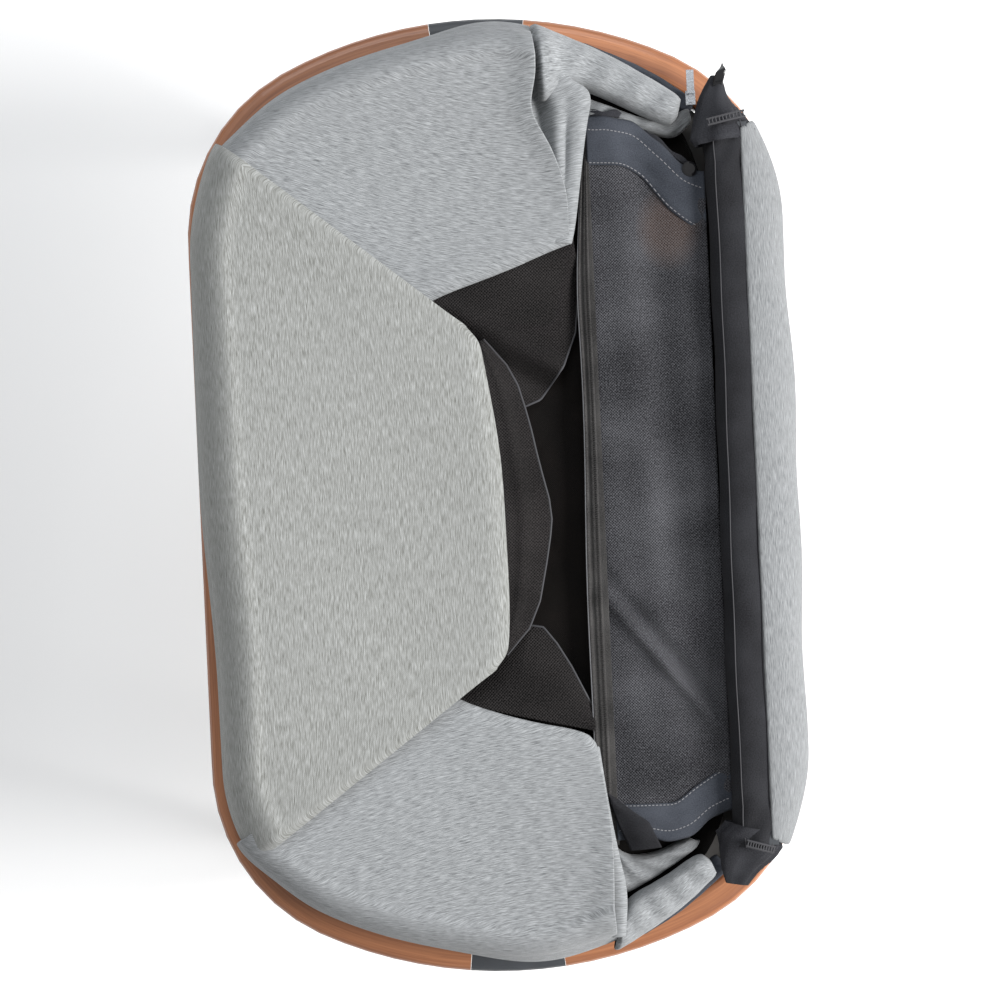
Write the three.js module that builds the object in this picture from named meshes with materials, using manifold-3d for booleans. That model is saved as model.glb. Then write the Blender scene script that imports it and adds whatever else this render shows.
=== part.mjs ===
// Bassinet on a folding stand: a wooden ring carries the bed, and its soft walls are folded in over it.
// The open side's mesh panel lies inwards. +Z up, +Y to the head end, +X to the open side, millimetres.
import * as THREE from "three";
import { mergeVertices } from "three/addons/utils/BufferGeometryUtils.js";
import Module from "manifold-3d";

const wasm = await Module();
wasm.setup();

// ---- Ring ----
const RING_LENGTH = 916;
const RING_WIDTH = 572;
const RING_HEIGHT = 430; // floor to the middle of the ring
const END_RADIUS = 0.743 * RING_WIDTH; // crown of the head and foot ends
const CORNER_RADIUS = 0.315 * RING_WIDTH;
const BOW_WIDTH = 32;
const BOW_DEPTH = 24;
const BOW_EDGE = 10; // rounding of the bow's long edges
const CONNECTOR_LENGTH = 88;
const GAP = 0.3; // between pieces that touch
const BISECTIONS = 30;

const RING_TOP = RING_HEIGHT + BOW_DEPTH / 2;
const RING_BOTTOM = RING_HEIGHT - BOW_DEPTH / 2;

// ---- Deck and mattress ----
const DECK_THICKNESS = 6;
const DECK_TOP = RING_BOTTOM + DECK_THICKNESS;
const MATTRESS_INSET = BOW_WIDTH + 35;
const MATTRESS_THICKNESS = 42;
const MATTRESS_EDGE = 8;
const MATTRESS_TOP = DECK_TOP + GAP + MATTRESS_THICKNESS;

// ---- Stand ----
const CROSS_Y = 0.415 * RING_LENGTH;
const CROSS_WIDTH = 30;
const CROSS_DEPTH = 18;
const CROSS_EDGE = 3;
const LEG_TOP_X = 0.306 * RING_WIDTH;
const LEG_FLARE = 25; // sideways, top to bottom
const LEG_SPLAY = THREE.MathUtils.degToRad(4); // outwards, towards head or foot
const LEG_RADIUS = 12.5;
const LEG_WALL = 1.5;
const LEG_ABOVE_PIN = 12;
const PIN_RADIUS = 0.32 * LEG_RADIUS;
const PIN_HEAD_RADIUS = PIN_RADIUS + 2.5;
const PIN_HEAD = 2.5;
const HOLE_CLEARANCE = 0.3;
const CHEEK = 3.5;
const CHEEK_INSIDE = LEG_RADIUS + 2; // half the space between a bracket's cheeks
const CHEEK_BELOW_PIN = 22;
const BRACKET_BASE = 4;
const BRACKET_ABOVE_PIN = 34;
const BRACKET_INNER = LEG_RADIUS + 2.5; // from the pin towards the bed's middle
const END_WALL_INNER = LEG_RADIUS + 6.5;
const END_WALL = 3;
const STOP_TOP = 14;
const STOP_BOTTOM = 20;
const BUTTON_RADIUS = 4.7;
const BUTTON_FLANGE = 6;
const BUTTON_ABOVE_PIN = 26;
const BUTTON_PROUD = 4;
const BUTTON_FLANGE_THICKNESS = 2;
const BUTTON_CHAMFER = 1;
const CUT_OVERRUN = 1; // of one cut into the next
const FLOOR_BAR_WIDTH = 2 * LEG_RADIUS + 5;
const FLOOR_BAR_DEPTH = 22;
const FLOOR_BAR_EDGE = 4;
const FLOOR_BAR_OVERHANG = 36; // beyond a leg
const PAD_LENGTH = 44;
const PAD_WIDTH = 24;
const PAD_HEIGHT = 8;
const SOCKET_RADIUS = LEG_RADIUS + 4.5;
const SOCKET_HEIGHT = 30;
const SOCKET_FLOOR = 3;

const CROSS_MIDDLE = RING_BOTTOM - GAP - CROSS_DEPTH / 2;
const BRACKET_TOP = RING_BOTTOM - CROSS_DEPTH - 2 * GAP;
const PIN_HEIGHT = BRACKET_TOP - BRACKET_BASE - BRACKET_ABOVE_PIN;
const FLOOR_BAR_TOP = PAD_HEIGHT + GAP + FLOOR_BAR_DEPTH;
const SOCKET_BOTTOM = FLOOR_BAR_TOP + GAP;

// ---- Walls and flaps ----
const CLOTH = 5; // foam-backed cloth
const WALL_FOOT_INSET = 14;
const RIM_SIDE_INSET = 15;
const RIM_END_INSET = 33;
const WALL_BOTTOM = RING_TOP + GAP;
const HINGE_HEIGHT = RING_HEIGHT + 100;
const HINGE_INSET = 6; // of a flap's fold line, from the rim
const WALL_TOP = HINGE_HEIGHT - GAP;
const FLAP_RISE = 2; // underside of a flap over its fold line
const SIDE_DROP = 32; // of the left flap, fold line to free edge
const END_DROP = 33;
const CORNER = 0.447; // quarter turn at which side and end walls meet
const HEAD_WALL_END = 0.082;
const FOOT_WALL_END = 1.844;
const SEAM = 0.006; // quarter turn left open between two walls

// ---- Open side ----
const RAIL_RADIUS = 17;
const RAIL_CORE_RADIUS = 8.3;
const RAIL_X = 0.791 * (RING_WIDTH / 2);
const RAIL_HEIGHT = RING_HEIGHT + 67;
const POST_SETBACK = 5.3; // of a post's outer face, inside where the bow crosses under the rail
const POST_WIDTH = 2 * RAIL_RADIUS - 6;
const POST_LENGTH = 14;
const POST_OFFSET = 6; // outwards from the rail's axis
const POST_ABOVE_RAIL = 4;
const SKIRT_INSET = 1;
const SKIRT_ABOVE_RAIL = 9; // top edge over the rail's axis
const SKIRT_CLEAR = 3.2; // between the skirt's top edge and a post
const PANEL_HEAD = 0.77; // panel ends, as shares of the half length
const PANEL_HEAD_SHOULDER = 0.655;
const PANEL_FOOT = -0.723;
const PANEL_FOOT_SHOULDER = -0.66;
const PANEL_HEAD_CORNER = 0.5; // where the cut corners start, as shares of the half width
const PANEL_FOOT_CORNER = 0.594;
const PANEL_THICKNESS = 2.5;
const TAPE_WIDTH = 17.5;
const TAPE_THICKNESS = 4;
const PANEL_CLEAR_OF_RAIL = 6.5;
const PANEL_OUTER_X = RAIL_X - RAIL_RADIUS - PANEL_CLEAR_OF_RAIL;
const PANEL_INNER_X = 0.285 * (RING_WIDTH / 2);
const PANEL_BELOW_RAIL = 10;
const PANEL_HEIGHT = RAIL_HEIGHT - PANEL_BELOW_RAIL;
const PANEL_DROP = 8;
const SNAP_RADIUS = 7;
const SNAP_THICKNESS = 3;
const SNAP_CHAMFER = 2;
const ROLL_INSET = 43;
const ROLL_FROM = HEAD_WALL_END + SEAM;
const ROLL_BEYOND_POST = 18; // head roll's end, past the post's outer face
const ROLL_FOOT_BEYOND_POST = 26;
const ROLL_FOOT_FROM = FOOT_WALL_END - SEAM;
const ROLL_WIDTH = 44;
const ROLL_DEPTH = 46;
const ROLL_EDGE = 18;
const CUFF_DEPTH = 27;
const CUFF_LID = 8;
const MESH = 2;
const LINING_TOP = RING_HEIGHT + 69;
const LINING_REACH = 45;
const BAND_DROP = 14;
const GUSSET_DROP = 6.5;
const GUSSET_BELOW_BAND = 6;
const PARK_INSIDE_RAIL = 29; // the parked zip slider
const PARK_BEYOND_RAIL = 41.5;
const SLIDER_LENGTH = 13;
const SLIDER_WIDTH = 9;
const SLIDER_HEIGHT = 6;
const SLIDER_BRIDGE = 3; // width of the loop that holds the pull
const SLIDER_STEP = 2; // body below the loop's top, and loop inside the body's ends
const PULL_LENGTH = 22;
const PULL_WIDTH = 7;
const PULL_THICKNESS = 1.6;

// ---- Materials ----
const material = (color, roughness, metalness = 0) =>
  new THREE.MeshStandardMaterial({ color, roughness, metalness });
const WOOD = () => material(0xb5703f, 0.45);
const SLATE = () => material(0x454b52, 0.5);
const STEEL = () => material(0x5a5f66, 0.35, 0.8);
const RUBBER = () => material(0x222325, 0.85);
const HEATHER = () => material(0xb0b2b2, 0.95);
const CHARCOAL = () => material(0x3c3e44, 0.9);
const NET = () => material(0x4b4b50, 0.9);
const BRIGHT = () => material(0xa8adb2, 0.25, 1);
const GLOSS = () => material(0x0c0c0e, 0.2);
const BOARD = () => material(0x55524d, 0.8);

const bassinet = new THREE.Group();
bassinet.name = "bassinet_on_stand";

function add(name, geometry, paint) {
  const mesh = new THREE.Mesh(geometry, paint());
  mesh.name = name;
  bassinet.add(mesh);
  return mesh;
}

// ---- Solids ----
function toSolid(geometry) {
  const soup = geometry.index ? geometry.toNonIndexed() : geometry;
  const bare = new THREE.BufferGeometry().setAttribute("position", soup.getAttribute("position"));
  const welded = mergeVertices(bare, 1e-3);
  return new wasm.Manifold(
    new wasm.Mesh({
      numProp: 3,
      vertProperties: welded.attributes.position.array,
      triVerts: new Uint32Array(welded.index.array),
    }),
  );
}

function toGeometry(solid) {
  const mesh = solid.getMesh();
  const geometry = new THREE.BufferGeometry()
    .setAttribute("position", new THREE.BufferAttribute(new Float32Array(mesh.vertProperties), 3))
    .setIndex(new THREE.BufferAttribute(new Uint32Array(mesh.triVerts), 1))
    .toNonIndexed();
  geometry.computeVertexNormals();
  return geometry;
}

const cut = (body, ...tools) =>
  toGeometry(tools.reduce((left, tool) => left.subtract(toSolid(tool)), toSolid(body)));
const join = (...bodies) => toGeometry(bodies.map(toSolid).reduce((a, b) => a.add(b)));

const block = (x0, x1, y0, y1, z0, z1) =>
  new THREE.BoxGeometry(x1 - x0, y1 - y0, z1 - z0).translate(
    (x0 + x1) / 2,
    (y0 + y1) / 2,
    (z0 + z1) / 2,
  );

/** A rod between two points. */
function rod(from, to, radius, sides = 24) {
  const line = new THREE.Vector3().subVectors(to, from);
  const turn = new THREE.Quaternion().setFromUnitVectors(
    new THREE.Vector3(0, 1, 0),
    line.clone().normalize(),
  );
  return new THREE.CylinderGeometry(radius, radius, line.length(), sides)
    .applyQuaternion(turn)
    .translate((from.x + to.x) / 2, (from.y + to.y) / 2, (from.z + to.z) / 2);
}

/** A turned piece: [radius, height] pairs along +Z, closed on its axis. */
const turned = (profile, sides = 20) =>
  new THREE.LatheGeometry(
    profile.map(([r, z]) => new THREE.Vector2(r, z)),
    sides,
  ).rotateX(Math.PI / 2);

function roundedRectangle(width, height, radius) {
  const x = width / 2 - radius;
  const y = height / 2 - radius;
  const right = Math.PI / 2;
  return new THREE.Shape()
    .absarc(x, y, radius, 0, right)
    .absarc(-x, y, radius, right, 2 * right)
    .absarc(-x, -y, radius, 2 * right, 3 * right)
    .absarc(x, -y, radius, 3 * right, 4 * right);
}

/** A flat plate of the given outline, from height z0 to z1. */
const plate = (shape, z0, z1) =>
  new THREE.ExtrudeGeometry(shape, { depth: z1 - z0, bevelEnabled: false }).translate(0, 0, z0);

/** The closed body between surface(u, v, 0) and surface(u, v, thickness). */
function shell(surface, thickness, across, along) {
  const positions = [];
  const index = [];
  const at = (i, j, k) => (k * (across + 1) + i) * (along + 1) + j;
  for (const depth of [0, thickness])
    for (let i = 0; i <= across; i++)
      for (let j = 0; j <= along; j++)
        positions.push(...surface(i / across, j / along, depth).toArray());
  const quad = (a, b, c, d) => index.push(a, b, c, a, c, d);
  for (let i = 0; i < across; i++)
    for (let j = 0; j < along; j++) {
      quad(at(i, j, 0), at(i + 1, j, 0), at(i + 1, j + 1, 0), at(i, j + 1, 0));
      quad(at(i, j, 1), at(i, j + 1, 1), at(i + 1, j + 1, 1), at(i + 1, j, 1));
    }
  for (let i = 0; i < across; i++) {
    quad(at(i, 0, 0), at(i, 0, 1), at(i + 1, 0, 1), at(i + 1, 0, 0));
    quad(at(i, along, 0), at(i + 1, along, 0), at(i + 1, along, 1), at(i, along, 1));
  }
  for (let j = 0; j < along; j++) {
    quad(at(0, j, 0), at(0, j + 1, 0), at(0, j + 1, 1), at(0, j, 1));
    quad(at(across, j, 0), at(across, j, 1), at(across, j + 1, 1), at(across, j + 1, 0));
  }
  return outward(positions, index);
}

/** Turns every face round where the body they close came out inside out. */
function outward(positions, index) {
  const corner = (n) => new THREE.Vector3().fromArray(positions, 3 * index[n]);
  let volume = 0;
  for (let n = 0; n < index.length; n += 3)
    volume += corner(n).dot(corner(n + 1).cross(corner(n + 2)));
  if (volume < 0) index.reverse();
  const geometry = new THREE.BufferGeometry()
    .setAttribute("position", new THREE.Float32BufferAttribute(positions, 3))
    .setIndex(index)
    .toNonIndexed();
  geometry.computeVertexNormals();
  return geometry;
}

// ---- Plan outline ----
/** The rounded plan of the ring, drawn in by an inset: crowned ends, corner arcs, straight sides. */
class Outline {
  constructor(sideInset, endInset = sideInset) {
    const halfWidth = RING_WIDTH / 2 - sideInset;
    const corner = CORNER_RADIUS - sideInset;
    this.end = END_RADIUS - endInset;
    this.endY = RING_LENGTH / 2 - endInset - this.end;
    const x = halfWidth - corner;
    const reach = this.end - corner;
    const y = this.endY + Math.sqrt(reach ** 2 - x ** 2);
    const up = Math.PI / 2;
    const turn = Math.asin(x / reach);
    this.quarter = new THREE.Path()
      .absarc(0, this.endY, this.end, up, up - turn, true)
      .absarc(x, y, corner, up - turn, 0, true)
      .lineTo(halfWidth, 0);
    this.length = this.quarter.getLength();
  }

  /** The point q quarters round, clockwise from the head end. */
  at(q) {
    const turn = THREE.MathUtils.euclideanModulo(q, 4);
    const k = Math.floor(turn);
    const p = this.quarter.getPoint(k % 2 ? 1 - (turn - k) : turn - k);
    return new THREE.Vector2(k > 1 ? -p.x : p.x, k === 1 || k === 2 ? -p.y : p.y);
  }

  /** The first quarter turn, from the head end to the side, at which test(point) holds. */
  turnWhere(test) {
    let [before, after] = [0, 1];
    for (let n = 0; n < BISECTIONS; n++) {
      const middle = (before + after) / 2;
      if (test(this.at(middle))) after = middle;
      else before = middle;
    }
    return after;
  }

  points(from, to, count) {
    return Array.from({ length: count + 1 }, (_, i) => this.at(from + ((to - from) * i) / count));
  }

  /** Half the width where the crowned end crosses y. */
  halfWidthAt(y) {
    return Math.sqrt(this.end ** 2 - (y - this.endY) ** 2);
  }
}

class OutlineCurve extends THREE.Curve {
  constructor(outline, from, to, height) {
    super();
    Object.assign(this, { outline, from, to, height });
  }

  getPoint(t, target = new THREE.Vector3()) {
    const p = this.outline.at(this.from + (this.to - this.from) * t);
    return target.set(p.x, p.y, this.height);
  }
}

/** A bar of rounded section, `width` across in plan, along part of an outline. */
function bar(outline, from, to, height, width, depth, edge, steps) {
  return new THREE.ExtrudeGeometry(roundedRectangle(depth, width, edge), {
    steps,
    curveSegments: 2,
    extrudePath: new OutlineCurve(outline, from, to, height),
  });
}

/** A plan point given as shares of the ring's half width and half length. */
const plan = (x, y) => new THREE.Vector2((x * RING_WIDTH) / 2, (y * RING_LENGTH) / 2);

// ---- Ring, deck, mattress ----
function buildRing() {
  const middle = new Outline(BOW_WIDTH / 2);
  const half = CONNECTOR_LENGTH / 2 / middle.length;
  const seam = GAP / middle.length;
  const section = [RING_HEIGHT, BOW_WIDTH, BOW_DEPTH, BOW_EDGE];
  add("ring_bow_right", bar(middle, half + seam, 2 - half - seam, ...section, 48), WOOD);
  add("ring_bow_left", bar(middle, 2 + half + seam, 4 - half - seam, ...section, 48), WOOD);
  add("ring_connector_head", bar(middle, -half, half, ...section, 4), SLATE);
  add("ring_connector_foot", bar(middle, 2 - half, 2 + half, ...section, 4), SLATE);
}

function buildBed() {
  const deck = new THREE.Shape(new Outline(BOW_WIDTH + 1).points(0, 4, 64).slice(0, -1).reverse());
  add("deck_board", plate(deck, RING_BOTTOM, DECK_TOP), BOARD);
  const pad = new THREE.Shape(
    new Outline(MATTRESS_INSET + MATTRESS_EDGE).points(0, 4, 64).slice(0, -1).reverse(),
  );
  const cushion = new THREE.ExtrudeGeometry(pad, {
    depth: MATTRESS_THICKNESS - 2 * MATTRESS_EDGE,
    bevelSize: MATTRESS_EDGE,
    bevelThickness: MATTRESS_EDGE,
    bevelSegments: 3,
  }).translate(0, 0, DECK_TOP + GAP + MATTRESS_EDGE);
  add("mattress", cushion, CHARCOAL);
}

// ---- Stand ----
/** One end of the stand; toward is +1 at the head end, -1 at the foot end. */
function buildStandEnd(end, toward) {
  const half = new Outline(BOW_WIDTH / 2).halfWidthAt(CROSS_Y);
  const y = toward * CROSS_Y;
  const beam = new THREE.ExtrudeGeometry(roundedRectangle(CROSS_DEPTH, CROSS_WIDTH, CROSS_EDGE), {
    depth: 2 * half,
    bevelEnabled: false,
    curveSegments: 3,
  });
  beam.rotateY(Math.PI / 2).translate(-half, y, CROSS_MIDDLE);
  add(`cross_bar_${end}`, beam, STEEL);
  const footY = y + toward * Math.tan(LEG_SPLAY) * (PIN_HEIGHT - SOCKET_BOTTOM);
  const footX = LEG_TOP_X + LEG_FLARE;
  add(`floor_bar_${end}`, floorBar(footX + FLOOR_BAR_OVERHANG, footY), WOOD);
  for (const [side, across] of [
    ["left", -1],
    ["right", 1],
  ]) {
    const pin = new THREE.Vector3(across * LEG_TOP_X, y, PIN_HEIGHT);
    const foot = new THREE.Vector3(across * footX, footY, SOCKET_BOTTOM + SOCKET_FLOOR);
    const label = `${end}_${side}`;
    add(`hinge_bracket_${label}`, bracket(pin, toward), SLATE);
    add(`hinge_pin_${label}`, hingePin(pin), BRIGHT);
    add(`lock_button_${label}`, lockButton(pin, toward), GLOSS);
    add(`leg_tube_${label}`, legTube(pin, foot), STEEL);
    add(`leg_socket_${label}`, legSocket(pin, foot), SLATE);
    add(`floor_pad_${label}`, floorPad(foot), RUBBER);
  }
}

function floorBar(half, y) {
  const shape = roundedRectangle(2 * half, FLOOR_BAR_WIDTH, FLOOR_BAR_WIDTH / 2 - 1);
  return new THREE.ExtrudeGeometry(shape, {
    depth: FLOOR_BAR_DEPTH - 2 * FLOOR_BAR_EDGE,
    bevelSize: FLOOR_BAR_EDGE,
    bevelThickness: FLOOR_BAR_EDGE,
    bevelOffset: -FLOOR_BAR_EDGE,
    bevelSegments: 2,
    curveSegments: 4,
  }).translate(0, y, PAD_HEIGHT + GAP + FLOOR_BAR_EDGE);
}

const floorPad = (foot) =>
  block(
    foot.x - PAD_LENGTH / 2,
    foot.x + PAD_LENGTH / 2,
    foot.y - PAD_WIDTH / 2,
    foot.y + PAD_WIDTH / 2,
    0,
    PAD_HEIGHT,
  );

/** Clevis under the cross bar, with an end wall and a stop that the splayed leg leans on. */
function bracket(pin, toward) {
  const outer = CHEEK_INSIDE + CHEEK;
  const near = (inner, far) => [Math.min(inner, far), Math.max(inner, far)];
  const outerY = END_WALL_INNER + END_WALL;
  const leanY = LEG_RADIUS / Math.cos(LEG_SPLAY) + STOP_BOTTOM * Math.tan(LEG_SPLAY) + GAP;
  const whole = near(-toward * BRACKET_INNER, toward * outerY);
  const body = block(-outer, outer, ...whole, -CHEEK_BELOW_PIN, BRACKET_ABOVE_PIN + BRACKET_BASE);
  const slot = near(-toward * 2 * BRACKET_INNER, toward * END_WALL_INNER);
  const channel = block(-CHEEK_INSIDE, CHEEK_INSIDE, ...slot, -STOP_TOP, BRACKET_ABOVE_PIN);
  const way = near(-toward * 2 * BRACKET_INNER, toward * leanY);
  const opening = block(-CHEEK_INSIDE, CHEEK_INSIDE, ...way, -2 * CHEEK_BELOW_PIN, CUT_OVERRUN - STOP_TOP);
  const under = near(toward * (leanY - CUT_OVERRUN), toward * 2 * outerY);
  const foot = block(-CHEEK_INSIDE, CHEEK_INSIDE, ...under, -2 * CHEEK_BELOW_PIN, -STOP_BOTTOM);
  const pinHole = rod(axisPoint(-2 * outer), axisPoint(2 * outer), PIN_RADIUS + HOLE_CLEARANCE);
  const buttonHole = rod(
    new THREE.Vector3(0, toward * BRACKET_INNER, BUTTON_ABOVE_PIN),
    new THREE.Vector3(0, toward * 2 * outerY, BUTTON_ABOVE_PIN),
    BUTTON_RADIUS + HOLE_CLEARANCE,
  );
  return cut(body, channel, opening, foot, pinHole, buttonHole).translate(pin.x, pin.y, pin.z);
}

const axisPoint = (x) => new THREE.Vector3(x, 0, 0);

function hingePin(pin) {
  const half = CHEEK_INSIDE + CHEEK + GAP;
  const end = half + PIN_HEAD;
  return turned([
    [0, -end],
    [PIN_HEAD_RADIUS, -end],
    [PIN_HEAD_RADIUS, -half],
    [PIN_RADIUS, -half],
    [PIN_RADIUS, half],
    [PIN_HEAD_RADIUS, half],
    [PIN_HEAD_RADIUS, end],
    [0, end],
  ])
    .rotateY(Math.PI / 2)
    .translate(pin.x, pin.y, pin.z);
}

/** Push button through the bracket's end wall, kept in by its flange. */
function lockButton(pin, toward) {
  const flange = END_WALL_INNER - GAP;
  const inner = flange - BUTTON_FLANGE_THICKNESS;
  const tip = END_WALL_INNER + END_WALL + BUTTON_PROUD;
  return turned([
    [0, inner],
    [BUTTON_FLANGE, inner],
    [BUTTON_FLANGE, flange],
    [BUTTON_RADIUS, flange],
    [BUTTON_RADIUS, tip - BUTTON_CHAMFER],
    [BUTTON_RADIUS - BUTTON_CHAMFER, tip],
    [0, tip],
  ])
    .rotateX((-toward * Math.PI) / 2)
    .translate(pin.x, pin.y, pin.z + BUTTON_ABOVE_PIN);
}

function legTube(pin, foot) {
  const top = alongLeg(pin, foot, -LEG_ABOVE_PIN);
  const beyond = alongLeg(pin, foot, -2 * LEG_ABOVE_PIN);
  const below = foot.clone().lerp(pin, -0.1);
  const crossing = 2 * LEG_RADIUS;
  const hole = rod(
    pin.clone().add(axisPoint(-crossing)),
    pin.clone().add(axisPoint(crossing)),
    PIN_RADIUS + HOLE_CLEARANCE,
  );
  return cut(rod(top, foot, LEG_RADIUS), rod(beyond, below, LEG_RADIUS - LEG_WALL), hole);
}

/** The point a distance down the leg from its pin. */
const alongLeg = (pin, foot, distance) =>
  foot.clone().sub(pin).normalize().multiplyScalar(distance).add(pin);

function legSocket(pin, foot) {
  const base = new THREE.Vector3(foot.x, foot.y, SOCKET_BOTTOM);
  const cup = rod(base, base.clone().setZ(SOCKET_BOTTOM + SOCKET_HEIGHT), SOCKET_RADIUS, 32);
  const seat = alongLeg(pin, foot, pin.distanceTo(foot) + GAP);
  return cut(cup, rod(pin, seat, LEG_RADIUS + GAP));
}

// ---- Walls ----
/** Upright cloth wall between two quarter turns, from the ring up to the fold line. */
function wall(from, to, steps) {
  const outlines = new Map(
    [0, CLOTH].map((depth) => [
      depth,
      [
        new Outline(WALL_FOOT_INSET + depth),
        new Outline(RIM_SIDE_INSET + depth, RIM_END_INSET + depth),
      ],
    ]),
  );
  const surface = (u, v, depth) => {
    const q = from + (to - from) * u;
    const [low, high] = outlines.get(depth).map((outline) => outline.at(q));
    const p = low.lerp(high, v);
    return new THREE.Vector3(p.x, p.y, WALL_BOTTOM + (WALL_TOP - WALL_BOTTOM) * v);
  };
  return shell(surface, CLOTH, steps, 1);
}

function buildWalls() {
  add("wall_left", wall(2 + CORNER + SEAM, 4 - CORNER - SEAM, 20), HEATHER);
  add("wall_head", wall(-CORNER, HEAD_WALL_END, 14), HEATHER);
  add("wall_foot", wall(FOOT_WALL_END, 2 + CORNER, 14), HEATHER);
}

// ---- Flaps ----
const foldOutline = new Outline(RIM_SIDE_INSET + HINGE_INSET + GAP, RIM_END_INSET + HINGE_INSET + GAP);
const LEFT_FOLD_X = -(RING_WIDTH / 2 - RIM_SIDE_INSET - HINGE_INSET);
const END_FOLD_Y = RING_LENGTH / 2 - RIM_END_INSET - HINGE_INSET;

const LEFT_INNER_HEAD = plan(-0.06, 0.336);
const LEFT_INNER_FOOT = plan(0.0, -0.328);
const LEFT_INNER_BOW = plan(0.078, -0.01);

/** Slopes a plate down from its fold line; distance gives how far a point lies from that line. */
function slope(geometry, distance, drop) {
  const position = geometry.getAttribute("position");
  for (let n = 0; n < position.count; n++) {
    const fall = drop * distance(position.getX(n), position.getY(n));
    position.setZ(n, position.getZ(n) - fall);
  }
  geometry.computeVertexNormals();
  return geometry;
}

const FLAP_UNDERSIDE = HINGE_HEIGHT + FLAP_RISE;
const leftShare = (x) => (x - LEFT_FOLD_X) / -LEFT_FOLD_X;
const endShare = (y) => (END_FOLD_Y - Math.abs(y)) / (END_FOLD_Y / 2);

function leftFlap() {
  const shape = new THREE.Shape(foldOutline.points(2 + CORNER + SEAM, 4 - CORNER - SEAM, 24));
  shape.lineTo(LEFT_INNER_HEAD.x, LEFT_INNER_HEAD.y);
  shape.quadraticCurveTo(
    LEFT_INNER_BOW.x,
    LEFT_INNER_BOW.y,
    LEFT_INNER_FOOT.x,
    LEFT_INNER_FOOT.y,
  );
  const flat = plate(shape, FLAP_UNDERSIDE, FLAP_UNDERSIDE + CLOTH);
  return slope(flat, (x) => leftShare(x), SIDE_DROP);
}

/** An end wall's flap: the rim, the mitre against the left flap, and a straight free edge. */
function endFlap(from, to, mitreInner, freeInner, freeOuter) {
  const rim = foldOutline.points(from, to, 16);
  const outline = [...rim, freeOuter, freeInner, mitreInner];
  const flat = plate(new THREE.Shape(outline), FLAP_UNDERSIDE, FLAP_UNDERSIDE + CLOTH);
  return slope(flat, (x, y) => endShare(y), END_DROP);
}

function buildFlaps() {
  add("flap_left", leftFlap(), HEATHER);
  const head = [plan(-0.19, 0.407), plan(0.272, 0.497), plan(0.272, 0.78)];
  const foot = [plan(-0.155, -0.419), plan(0.262, -0.478), plan(0.275, -0.84)];
  add("flap_head", endFlap(-CORNER + 2 * SEAM, HEAD_WALL_END, ...head), HEATHER);
  add("flap_foot", endFlap(2 + CORNER - 2 * SEAM, FOOT_WALL_END, ...foot), HEATHER);
}

// ---- Open side ----
const POST_TOP = RAIL_HEIGHT + RAIL_CORE_RADIUS + POST_ABOVE_RAIL;
const bowInside = new Outline(BOW_WIDTH);
const POST_END = bowInside.at(bowInside.turnWhere((p) => p.x > RAIL_X)).y - POST_SETBACK;
const RAIL_HALF = POST_END - GAP - POST_LENGTH;

function buildRail() {
  const ends = [-1, 1].map((way) => new THREE.Vector3(RAIL_X, way * RAIL_HALF, RAIL_HEIGHT));
  const reach = GAP + POST_LENGTH;
  const longer = ends.map((p, i) => p.clone().setY(p.y + (i ? reach : -reach)));
  const past = ends.map((p) => p.clone().setY(2 * p.y));
  add("rail_core", rod(...longer, RAIL_CORE_RADIUS), STEEL);
  const bore = rod(...past, RAIL_CORE_RADIUS + GAP);
  add("rail_sleeve", cut(rod(...ends, RAIL_RADIUS, 28), bore), CHARCOAL);
  for (const [end, toward] of [
    ["foot", -1],
    ["head", 1],
  ]) {
    const near = toward * (RAIL_HALF + GAP);
    const far = toward * (RAIL_HALF + reach);
    const x = RAIL_X + POST_OFFSET - POST_WIDTH / 2;
    const span = [Math.min(near, far), Math.max(near, far)];
    const post = block(x, x + POST_WIDTH, ...span, RING_TOP + GAP, POST_TOP);
    add(`rail_post_${end}`, cut(post, bore), SLATE);
  }
}

/** Cloth skirt that curves from beside the rail out and down to the ring. */
function skirt() {
  const ring = new Outline(SKIRT_INSET);
  const topX = RAIL_X + RAIL_RADIUS + GAP;
  const rise = RAIL_HEIGHT + SKIRT_ABOVE_RAIL - WALL_BOTTOM;
  const from = ring.turnWhere((p) => p.y < POST_END);
  const shoulder = (RAIL_HALF - SKIRT_CLEAR) / POST_END;
  const surface = (u, v, depth) => {
    const low = ring.at(from + (2 - 2 * from) * u);
    const turn = (v * Math.PI) / 2;
    const out = (low.x - depth - topX) * Math.sin(turn);
    const y = low.y * (shoulder + (1 - shoulder) * Math.sin(turn));
    return new THREE.Vector3(topX + out, y, WALL_BOTTOM + (rise - depth) * Math.cos(turn));
  };
  return shell(surface, CLOTH, 20, 6);
}

/** Cloth rolled down on the ring between an end wall and the open side. */
function buildRolls() {
  const middle = new Outline(ROLL_INSET);
  const section = [RING_TOP + GAP + ROLL_DEPTH / 2, ROLL_WIDTH, ROLL_DEPTH, ROLL_EDGE, 10];
  const end = (beyond) => middle.turnWhere((p) => p.y < POST_END + beyond);
  const footEnd = 2 - end(ROLL_FOOT_BEYOND_POST);
  add("roll_head", bar(middle, ROLL_FROM, end(ROLL_BEYOND_POST), ...section), HEATHER);
  add("roll_foot", bar(middle, footEnd, ROLL_FOOT_FROM, ...section), HEATHER);
}

/**
 * Folded end of the open side's cloth: a lid over the rail's post and a hanging tail beyond it.
 * Corners are [distance from the rail's axis, distance beyond the rail's end].
 */
function cuff(corners, toward) {
  const top = POST_TOP + GAP + CUFF_LID;
  const outline = corners.map(([x, y]) => new THREE.Vector2(RAIL_X + x, toward * (RAIL_HALF + y)));
  const body = plate(new THREE.Shape(outline), top - CUFF_DEPTH, top);
  const ends = [0, toward * (RAIL_HALF + POST_LENGTH + 2 * GAP)];
  const clear = block(0, RING_WIDTH, Math.min(...ends), Math.max(...ends), 0, POST_TOP + GAP);
  return cut(body, clear);
}

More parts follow.
